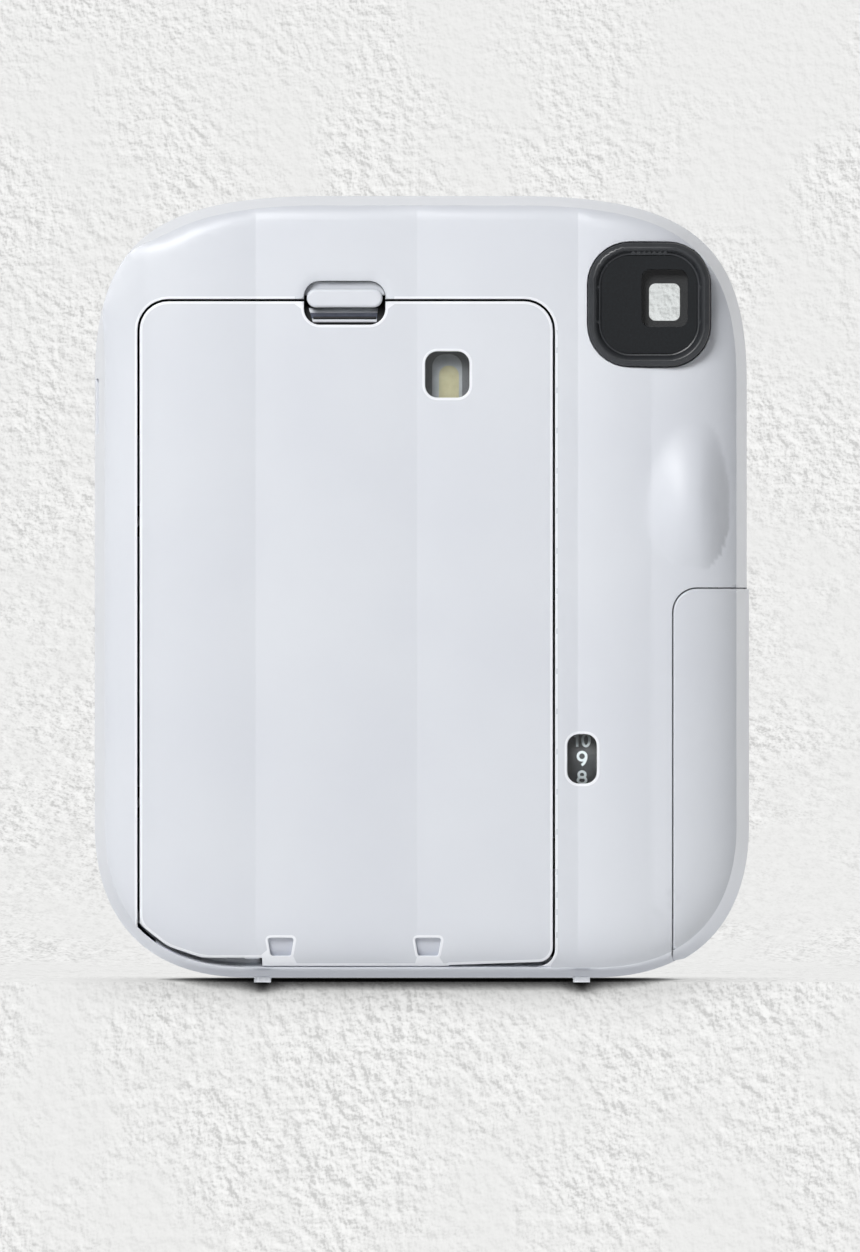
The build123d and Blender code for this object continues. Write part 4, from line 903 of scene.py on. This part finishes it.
print("battery seam from point", seam_top, "to", seam_low)

# %% Rear cover
lip_fall, lip_reach = 0.32, 1.5       # the soft roll into the latch well
arch_ring = rounded([(well_left, door_top + seam), (well_left, well_top), (well_right, well_top),
                     (well_right, door_top + seam)], [0, well_r, well_r, 0])


def rear_height(points):
    """The back face, with the wide soft roll that leads into the upper half of the latch well."""
    gap = away_from(points, arch_ring[:-1], arch_ring[1:], arch_ring[:-1])[0]
    return back_height(points) + lip_fall * np.clip(1 - gap / lip_reach, 0, 1) ** 2


def unburnished(points):
    """Where an edge gets no painted highlight: the upper half of the latch well, round the
    eyepiece, and along the fine battery seam.
    """
    x, z = points[:, 0], points[:, 1]
    return (((abs(x - latch_x) < 7.5) & (z > door_top + seam)) | (x > battery_x - 1)
            | ((x > eye_low.x - 1) & (z > eye_low.z - 1)))


def pick(ring, first, last):
    """The points of a ring from one index to another, wrapping round."""
    return ring[np.arange(first, last + 1 if last >= first else last + 1 + len(ring)) % len(ring)]


def furthest_right(below, left_of):
    """The rim's point furthest to the right below one height and left of one place."""
    return max((k for k in range(ring_count) if rim[k][1] < below and rim[k][0] < left_of),
               key=lambda k: rim[k][0])


bottom_right = furthest_right(3.0, door_right + seam)
bottom_left = furthest_right(9.0, door_left + 3.0)
gap_left, gap_right, gap_top = door_left - seam, door_right + seam, door_top + seam
opening = rounded([                       # round the door, between two far points that close it
    (0, -40), (gap_left, rim[bottom_left][1] + 2.4), (gap_left, gap_top), (well_left, gap_top),
    (well_left, well_top), (well_right, well_top), (well_right, gap_top), (gap_right, gap_top),
    (gap_right, 2.9), (door_right - 2.6, 2.55), (1, -40),
], [0, 1.0, 4.85, 0.5, well_r, well_r, 0.5, 4.85, 2.6, 0, 0])[-2:0:-1]
shore = pick(rim, seam_low, bottom_right)
far_shore = pick(rim, bottom_left, seam_top)
line = battery_line(fine_seam)
loop = np.concatenate([shore, opening, far_shore[:-1], line])
mask = np.concatenate([np.zeros(len(shore), bool), np.ones(len(opening), bool),
                       np.zeros(len(far_shore) - 1, bool), np.ones(len(line), bool)])
mask[[len(shore) - 1, len(shore) + len(opening)]] = True
eye_hole = soft_box(eye_x, eye_z, eye_wide + 0.3, eye_tall + 0.3, eye_r + 0.15, clockwise=False)
count_hole = soft_box(count_x, count_z, 4.6, 7.7, 1.8, clockwise=False)
loops = [loop, eye_hole, count_hole]
soft = [mask, np.ones(len(eye_hole), bool), np.ones(len(count_hole), bool)]
# the outer loop's walls are painted black as shade
# the rims along the door seam take the painted highlight, except in the places that the function
# above names
rear_face = patch(loops, soft, rear_height, no_highlight=unburnished, walls=(2, 0))
print("rear cover patch:", len(rear_face[0]), "points")

# %% The drafted band between the crease and the parting line


def net(grid, hole=None):
    """A grid of places as a patch. hole(x, y, z) tells which cells stay open."""
    normal = np.cross(np.gradient(grid, axis=1), np.gradient(grid, axis=0))
    normal /= np.linalg.norm(normal, axis=2)[:, :, None]
    count = grid.shape[1]
    faces = []
    for r in range(grid.shape[0] - 1):
        for c in range(count - 1):
            k = r * count + c
            if hole is None or not hole(*grid[r:r + 2, c:c + 2].reshape(4, 3).mean(0)):
                faces.append([k, k + 1, k + count + 1, k + count])
    return grid.reshape(-1, 3), normal.reshape(-1, 3), faces, [0] * len(faces)


def band(edge, edge_y, foot, deep, extra=(), hole=None):
    """A strip from the crease (x, z points at depth edge_y) to the foot at depth `deep`.
    `extra` are more rows, as shares of the way."""
    rows = []
    for t in sorted([*np.linspace(0, 1, 14), *extra]):
        spot = edge * (1 - t) + foot * t
        rows.append(np.stack([spot[:, 0], edge_y * (1 - t) + deep * t, spot[:, 1]], axis=1))
    return net(np.stack(rows), hole)


edge, foot = (pick(ring, seam_low, seam_top + ring_count) for ring in (rim, root))
edge[-1][1] = foot[-1][1] = battery_z + fine_seam
edge[0][0] = foot[0][0] = battery_x - fine_seam
edge_y = back_height(edge)
shelf_y = back_y + 3.2                # the band starts deeper where the door swings through
under_door = ((edge[:, 1] < rim[bottom_left][1] + 0.01) & (edge[:, 0] < rim[bottom_right][0] + 0.01)
              & (edge[:, 0] > rim[bottom_left][0] - 0.01))
share = np.where(under_door, np.clip((shelf_y - edge_y) / (parting_y - edge_y), 0, 1), 0.0)
edge = edge + (foot - edge) * share[:, None]
edge_y = np.where(under_door, np.maximum(edge_y, shelf_y), edge_y)
strap_low, strap_high = (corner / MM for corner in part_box("strap_bar"))
strap_z = (strap_low.z + 0.2, strap_high.z - 0.2)
strap_y = ((strap_low.y + strap_high.y) / 2 - 4.0, (strap_low.y + strap_high.y) / 2 + 4.0)
on_left = np.where(foot[:, 0] < left_side + 0.5)[0]
for level in strap_z:
    closest = min(on_left, key=lambda k: abs(foot[k][1] - level))
    edge[closest][1] = foot[closest][1] = level
side_y = edge_y[on_left[0]]
extra = [(y - side_y) / (parting_y - side_y) for y in strap_y]


def strap_hole(x, y, z):
    return x < left_side + 3 and strap_z[0] < z < strap_z[1] and strap_y[0] < y < strap_y[1]


rear_band = band(edge, edge_y, foot, parting_y, extra, strap_hole)


def side_x(y):
    """Where the left side stands at depth y."""
    return left_side + side_draft * (parting_y - y) / (parting_y - side_y)


def well_walls(depth=2.4):
    """Four short walls that lead from the side into the well of the strap bar."""
    (y0, y1), (z0, z1) = strap_y, strap_z
    ring = [(y0, z0), (y1, z0), (y1, z1), (y0, z1)]
    inward = [(0, 0, 1), (0, -1, 0), (0, 0, -1), (0, 1, 0)]
    places, normals, faces = [], [], []
    for (ya, za), (yb, zb), way in zip(ring, ring[1:] + ring[:1], inward):
        a, b, base = side_x(ya), side_x(yb), len(places)
        places += [(a, ya, za), (b, yb, zb), (b + depth, yb, zb), (a + depth, ya, za)]
        normals += [way] * 4
        faces.append([base + 3, base + 2, base + 1, base])
    return np.array(places, float), np.array(normals, float), faces, [0] * 4


# %% The shelf under the door, in steps of depth behind the back face and of rise
shelf_steps = [(3.2, 0.0), (4.3, 0.35), (5.15, 0.85), (5.35, 1.6)]
crease = edge[under_door]
shelf = net(np.stack([
    np.stack([crease[:, 0], np.full(len(crease), back_y + deep), crease[:, 1] + rise], axis=1)
    for deep, rise in reversed(shelf_steps)]))
rear_pieces = [rear_face, rear_band, shelf, well_walls()]
rear_skin = skin("rear_skin", rear_pieces, "root", "moulded_white_ABS")
print("rear skin:", len(rear_skin.data.polygons), "faces")

# %% Film door
door_corners = [
    (door_left, 9.1), (door_left, door_top), (well_left, door_top), (well_left, well_base),
    (well_right, well_base), (well_right, door_top), (door_right, door_top), (door_right, 3.3),
    (tab_right, 2.75), (tab_right, 2.6), (tab_left, 2.6), (tab_left, 3.9), (door_left + 9.7, 3.9),
    (door_left + 4.3, 5.7),
]
door_radii = [3.0, 4.5, 0.6, well_r, well_r, 0.6, 4.5, 2.3, 0.1, 0, 0.1, 0.2, 9.0, 7.0]
door_loop = rounded(door_corners, door_radii)
holes = [soft_box(check_x, check_z, 6.9, 7.2, 1.9, clockwise=False)]
pocket_places = (tab_left + 2.9, tab_right - 3.25)
for x in pocket_places:
    shape = [(x - 1.55, 4.2), (x - 2.05, 7.0), (x + 2.05, 7.0), (x + 1.55, 4.2)]
    holes.append(rounded(shape, [0.35] * 4, 5)[::-1])
loops = [door_loop] + holes
# the door's rims take the painted highlight, and its outer walls are painted black as shade
door_face = patch(loops, whole(loops), back_height, walls=(2, 0))
door_skin = skin("door_skin", [door_face], "film_door", "moulded_white_ABS")
print("door skin:", len(door_skin.data.polygons), "faces")

# %% Battery cover
battery_proud = 0.12


def battery_height(points):
    """The battery cover stands a little proud of the cover round it."""
    return back_height(points) - battery_proud


line = battery_line(-fine_seam)[::-1]
shore = pick(rim, seam_top, seam_low)
shore = shore[(shore[:, 1] < battery_z - 0.2) & (shore[:, 0] > battery_x + 0.2)]
loop = np.concatenate([shore, line])
mask = np.concatenate([np.zeros(len(shore), bool), np.ones(len(line), bool)])
# the battery cover's rims take none of the painted highlight, and its walls are painted black as
# shade
battery_patch = patch([loop], [mask], battery_height, radius=0.25, no_highlight=unburnished, walls=(2,))
edge, foot = (pick(ring, seam_top, seam_low) for ring in (rim, root))
edge[0][1] = foot[0][1] = battery_z - fine_seam
edge[-1][0] = foot[-1][0] = battery_x + fine_seam
battery_band = band(edge, battery_height(edge), foot + (foot - edge) * 0.2, parting_y)
battery_skin = skin("battery_skin", [battery_patch, battery_band], "battery_cover",
                    "moulded_white_ABS")
print("battery skin:", len(battery_skin.data.polygons), "faces")

# %% [markdown]
# ## What lies behind the skins
# A cover also has ribs, bosses and inner walls, and the CAD model has them all. We take a copy
# of each one and keep only what lies deeper than the skin, by intersecting it with a closed form
# that is the outer surface moved inwards. Skin and core together then replace the CAD node.

# %% The inner form and the cores
core_gap = 0.62
core_net = 1.6                # mm between the points of the form's top
form_depth = 60.0             # how far the form reaches forward, past everything
strap_pocket = 1.5            # extra depth where the strap side swells out


def inner_form(gap):
    """A closed block under the skin: its top follows the back face, its sides the drafted band."""
    top_ring, foot_ring = outline(side_draft + gap), outline(gap)
    grid = np.array([(x, z) for x in np.arange(left_side, right_side, core_net)
                     for z in np.arange(0, body_top, core_net)])
    grid = grid[inside(grid, [top_ring])]
    after = np.roll(top_ring, -1, axis=0)
    grid = grid[away_from(grid, top_ring, after, after)[0] > 0.5]
    flat, faces = triangulate(np.concatenate([top_ring, grid]), [top_ring], 1e-5)
    strap_side = np.exp(-((flat[:, 0] + 47) / 7) ** 2 - ((flat[:, 1] - 107) / 12) ** 2)
    depth = back_height(flat) + gap + strap_pocket * strap_side
    top = np.stack([flat[:, 0], depth, flat[:, 1]], axis=1)
    faces = [list(f) for f in faces]
    base, count = len(top), len(top_ring)
    middle = np.stack([foot_ring[:, 0], np.full(count, parting_y), foot_ring[:, 1]], axis=1)
    deep = middle + (0, form_depth, 0)
    start = [int(np.abs(flat - p).sum(1).argmin()) for p in top_ring]
    for k in range(count):
        j = (k + 1) % count
        faces.append([start[k], base + k, base + j, start[j]])
        faces.append([base + k, base + count + k, base + count + j, base + j])
    faces.append([base + count + k for k in range(count)][::-1])
    return np.concatenate([top, middle, deep]), faces


def block(name, places, faces):
    """A closed form, which is only cut with and never shown."""
    mesh = bpy.data.meshes.new(name)
    mesh.from_pydata(places * MM, [], [face[::-1] for face in faces])
    mesh.validate()
    return bpy.data.objects.new(name, mesh)


def core(node, form, body, finish_name):
    """The part of a CAD node that lies inside the form, as a piece of its own."""
    original = nodes[node]
    mesh = original.data.copy()
    shape = bmesh.new()
    shape.from_mesh(mesh)
    shape.transform(original.matrix_world)
    bmesh.ops.remove_doubles(shape, verts=shape.verts, dist=2e-7)
    shape.to_mesh(mesh)
    shape.free()
    inner = bpy.data.objects.new(node + "_core", mesh)
    bpy.context.scene.collection.objects.link(inner)
    cut = inner.modifiers.new("keep_inside", "BOOLEAN")
    cut.operation, cut.object, cut.solver = "INTERSECT", form, "EXACT"
    bpy.context.scene.collection.objects.link(form)
    bpy.context.view_layer.update()
    seen = inner.evaluated_get(bpy.context.evaluated_depsgraph_get())
    result = bpy.data.meshes.new_from_object(seen)
    bpy.context.scene.collection.objects.unlink(form)
    inner.modifiers.clear()
    inner.data = result
    result.polygons.foreach_set("use_smooth", [True] * len(result.polygons))
    result.set_sharp_from_angle(angle=math.radians(30))
    wear(inner, finish_name)
    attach(inner, body)
    return inner


foot_x, foot_half = 24.9, 1.6
foot_reach, foot_levels = (6.0, 13.2), (-0.5, 0.85)      # behind the back face, and above the floor
box_faces = ((0, 1, 3, 2), (4, 6, 7, 5), (0, 4, 5, 1), (2, 3, 7, 6), (0, 2, 6, 4), (1, 5, 7, 3))


def foot_boxes():
    """Two small closed blocks round the rear feet."""
    places, faces = [], []
    for x in (-foot_x, foot_x):
        faces += [[len(places) + k for k in quad] for quad in box_faces]
        places += [(x + i * foot_half, back_y + reach, z)
                   for z in foot_levels for reach in foot_reach for i in (-1, 1)]
    return np.array(places, float), faces


feet_form = block("feet_form", *foot_boxes())
# the rear feet wear the lighter rim finish, which is a painted highlight
feet = core("rear_cover", feet_form, "root", "painted_highlight_white_ABS")
feet.name = "rear_feet"
bpy.data.objects.remove(feet_form)
lowest = min(v.co.z for v in feet.data.vertices) / MM
print("feet:", len(feet.data.polygons), "faces, lowest point", round(lowest, 2))

form = block("inner_form", *inner_form(core_gap))
for node, body, cover in (("rear_cover", "root", rear_skin), ("film_door", "film_door", door_skin),
                          ("battery_cover", "battery_cover", battery_skin)):
    inner = core(node, form, body, "moulded_white_ABS")
    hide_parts(node)
    print(node, "core:", len(inner.data.polygons), "faces")
bpy.data.objects.remove(form)

# %% [markdown]
# ## The eyepiece frame
# The frame is a soft squircle with a raised ridge near its outer edge and a lower shoulder that
# leads in. We make it as a patch between two loops, its height a function of the distance
# from the outer one.

# %% Eyepiece frame
frame_outer = soft_box(eye_x, eye_z, eye_wide, eye_tall, eye_r, steps=17)
frame_inner = soft_box(eye_x, eye_z, 14.9, 15.2, 4.6, clockwise=False, steps=17)
outer_after = np.roll(frame_outer, -1, axis=0)
frame_proud, ridge_rise, shoulder_fall = 0.7, 0.65, 0.5


def ring_height(points):
    """The ridge near the outer edge, and the shoulder inside it."""
    inward = away_from(points, frame_outer, outer_after, outer_after)[0]
    ridge = ridge_rise * np.exp(-((inward - 0.85) / 0.5) ** 2)
    shoulder = shoulder_fall * np.clip((inward - 1.3) / 0.4, 0, 1) ** 2
    return back_y - frame_proud - ridge + shoulder


loops = [frame_outer, frame_inner]
frame_patch = patch(loops, whole(loops), ring_height, radius=0.3, depth=3.4, spacing=0.25)
rubber = "soft_black_elastomer"
frame_skin = skin("eyepiece_frame", [frame_patch], "root", rubber, rubber)
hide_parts("eyepiece_ring")
print("eyepiece frame:", len(frame_skin.data.polygons), "faces")

# %% [markdown]
# ## The latch
# The finger bar is the CAD piece. Round it we add the bright back wall of the well above it and
# the finger grip below: a lit step, a hollow that turns away from the light, and a low bead. The
# rows of the grip that face down take a darker grey, which is painted shade. The two finger
# pockets at the door's lower edge get a floor each, in a greyer white that is painted shade, and
# a strip of dark foam behind the door's left seam is painted shade that makes that seam read dark.

# %% Pocket floors and a seam strip, both painted shade, and the wall of the latch well


def plate(name, body, loop, height, finish_name, spacing=0.4, edge=0.12):
    """A thin soft-edged piece made from one loop."""
    made = patch([loop], whole([loop]), height, radius=edge, depth=edge, spacing=spacing)
    return skin(name, [made], body, finish_name, finish_name)


def pocket_floor(points):
    """The floor of a finger pocket, which faces a little downwards."""
    return back_height(points) + 1.2 - 0.12 * (points[:, 1] - 4.2)


def slab(left, right, low, high, radii):
    """A rounded loop between two places across and two heights."""
    return rounded([(left, low), (left, high), (right, high), (right, low)], radii)


# the pocket floors are a greyer white than the door, which is painted shade
for side, x in zip(("left", "right"), pocket_places):
    corners = [(x - 1.7, 4.1), (x - 2.15, 7.1), (x + 2.15, 7.1), (x + 1.7, 4.1)]
    plate("pocket_floor_" + side, "film_door", rounded(corners, [0.3] * 4, 5), pocket_floor,
          "pale_ABS_and_pocket_shade")
# dark foam behind the door's left seam, painted shade that makes the seam read dark
strip = slab(door_left - 2.0, door_left + 1.4, 94.0, 112.0, [0.5] * 4)
plate("seam_shade_strip", "root", strip, lambda p: np.full(len(p), back_y + 8.0), "open_cell_foam")
arch_base, arch_lean = latch_z + 1.0, 0.3 / 2.2
arch = slab(well_left + 0.05, well_right - 0.05, arch_base, well_top - 0.05, [0, 2.4, 2.4, 0])
plate("well_wall", "root", arch, lambda p: back_y + 1.3 - arch_lean * (p[:, 1] - arch_base),
      "moulded_white_ABS")
print("plates ready")

# %% The finger grip, whose profile goes down in steps of z and y
grip_rows = [(105.15, -28.5), (104.95, -28.72), (104.6, -28.92), (104.42, -28.9), (103.55, -28.55),
             (103.4, -28.62), (103.15, -28.8), (102.95, -28.74), (102.8, -28.5)]
grip_base, grip_tall = 102.8, 2.35
grip_shift = latch_z - 106.1
painted_shade_rows = (3, 7)            # the rows of the profile that face down, painted darker as shade


def grip_mesh(columns=30):
    """The finger grip: one moulded profile, wider at its top, with a hollow across the middle."""
    places, faces, dark = [], [], []
    for z, y in grip_rows:
        spread = (z - grip_base) / grip_tall
        left, right = latch_x - 4.9 - 0.7 * spread, latch_x + 4.95 + 0.25 * spread
        places += [(left + (right - left) * c / columns, y, z + grip_shift)
                   for c in range(columns + 1)]
    for r in range(len(grip_rows) - 1):
        for c in range(columns):
            k = r * (columns + 1) + c
            faces.append([k, k + columns + 1, k + columns + 2, k + 1])
            # rows that face down take the darker grey, painted shade
            dark.append(int(r in painted_shade_rows))
    grid = np.array(places).reshape(len(grip_rows), columns + 1, 3)
    normal = np.cross(np.gradient(grid, axis=1), np.gradient(grid, axis=0))
    normal *= -np.sign(normal[..., 1:2]) / np.linalg.norm(normal, axis=2)[..., None]
    return np.array(places), normal.reshape(-1, 3), faces, dark


grip = skin("finger_grip", [grip_mesh()], "door_latch", "moulded_white_ABS", "painted_shade_grip_ABS")
print("finger grip:", len(grip.data.polygons), "faces")

# %% [markdown]
# ## The windows
# Behind the check window lies the label of the film pack, with a yellow mark that tells a loaded
# pack. Behind the counter window turns the drum, printed with the number of sheets left.

# %% Pack label
label = slab(check_x - 2.35, check_x + 2.3, 90.6, 98.0, [0, 2.0, 2.0, 0])
pack_label = plate("pack_label", "root", label, lambda p: np.full(len(p), back_y + 4.37),
                   "grey_pack_label", edge=0.02)
print("label:", len(pack_label.data.polygons), "faces")

# %% Counter numerals
drum_low, drum_high = (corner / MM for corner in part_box("counter_drum"))
drum_r = (drum_high.z - drum_low.z) / 2
drum_y, drum_z = (drum_low.y + drum_high.y) / 2, (drum_low.z + drum_high.z) / 2


def arc(x, z, rx, rz, start, end, steps=20):
    """Points on an ellipse between two angles in degrees."""
    turn = np.radians(np.linspace(start, end, steps))
    return np.stack([x + rx * np.cos(turn), z + rz * np.sin(turn)], axis=1)


strokes = {
    "0": [arc(0, 0, 0.29, 0.42, 0, 360)],
    "1": [np.array([(-0.2, 0.24), (0.04, 0.4), (0.04, -0.46)])],
    "2": [np.concatenate([arc(0, 0.18, 0.28, 0.24, 170, -20), [(-0.28, -0.42), (0.31, -0.42)]])],
    "3": [arc(-0.02, 0.2, 0.26, 0.22, 150, -90), arc(-0.02, -0.2, 0.3, 0.22, 90, -150)],
    "4": [np.array([(0.14, -0.46), (0.14, 0.42), (-0.3, -0.18), (0.34, -0.18)])],
    "5": [np.concatenate([[(0.26, 0.42), (-0.2, 0.42), (-0.24, 0.04)],
                          arc(-0.02, -0.14, 0.28, 0.28, 130, -150)])],
    "6": [arc(0, -0.16, 0.28, 0.26, 0, 360), arc(0.22, -0.16, 0.5, 0.6, 180, 112)],
    "7": [np.array([(-0.28, 0.42), (0.28, 0.42), (-0.08, -0.46)])],
    "8": [arc(0, 0.2, 0.23, 0.21, 0, 360), arc(0, -0.2, 0.28, 0.23, 0, 360)],
    "9": [arc(0, 0.16, 0.28, 0.26, 0, 360), arc(-0.22, 0.16, 0.5, 0.6, 0, -68)],
}
digit_high, digit_wide, narrow_digit, stroke_half = 2.5, 2.3, 1.9, 0.2
number_now, number_turn = 9, 30.0       # the number in the window, degrees from one to the next
ink_reach = drum_r + 0.03


def numeral(text, angle):
    """The strokes of a number, laid on the drum at an angle above the line of sight."""
    places, faces = [], []
    for k, letter in enumerate(text):
        shift = (k - (len(text) - 1) / 2) * 1.45 - 0.1 * (len(text) - 1)
        for stroke in strokes[letter]:
            path = np.concatenate([np.linspace(a, b, 4) for a, b in zip(stroke, stroke[1:])])
            path = path * (digit_wide if len(text) == 1 else narrow_digit, digit_high) + (shift, 0)
            run = np.gradient(path, axis=0)
            run /= np.linalg.norm(run, axis=1)[:, None]
            side = np.stack([-run[:, 1], run[:, 0]], axis=1) * stroke_half
            base = len(places)
            for point, step in zip(path, side):
                for spot in (point + step, point - step):
                    turn = math.radians(angle) + spot[1] / drum_r
                    places.append((count_x + spot[0], drum_y - ink_reach * math.cos(turn),
                                   drum_z + ink_reach * math.sin(turn)))
            faces += [[k, k + 1, k + 3, k + 2] for k in range(base, len(places) - 2, 2)]
    return places, faces


places, faces = [], []
for number in range(11):
    spots, quads = numeral(str(number), (number - number_now) * number_turn)
    faces += [[v + len(places) for v in quad] for quad in quads]
    places += spots
numerals = new_piece("counter_numerals", places, faces, "white_pad_ink")
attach(numerals, "counter_drum")
print("numerals:", len(faces), "quads")
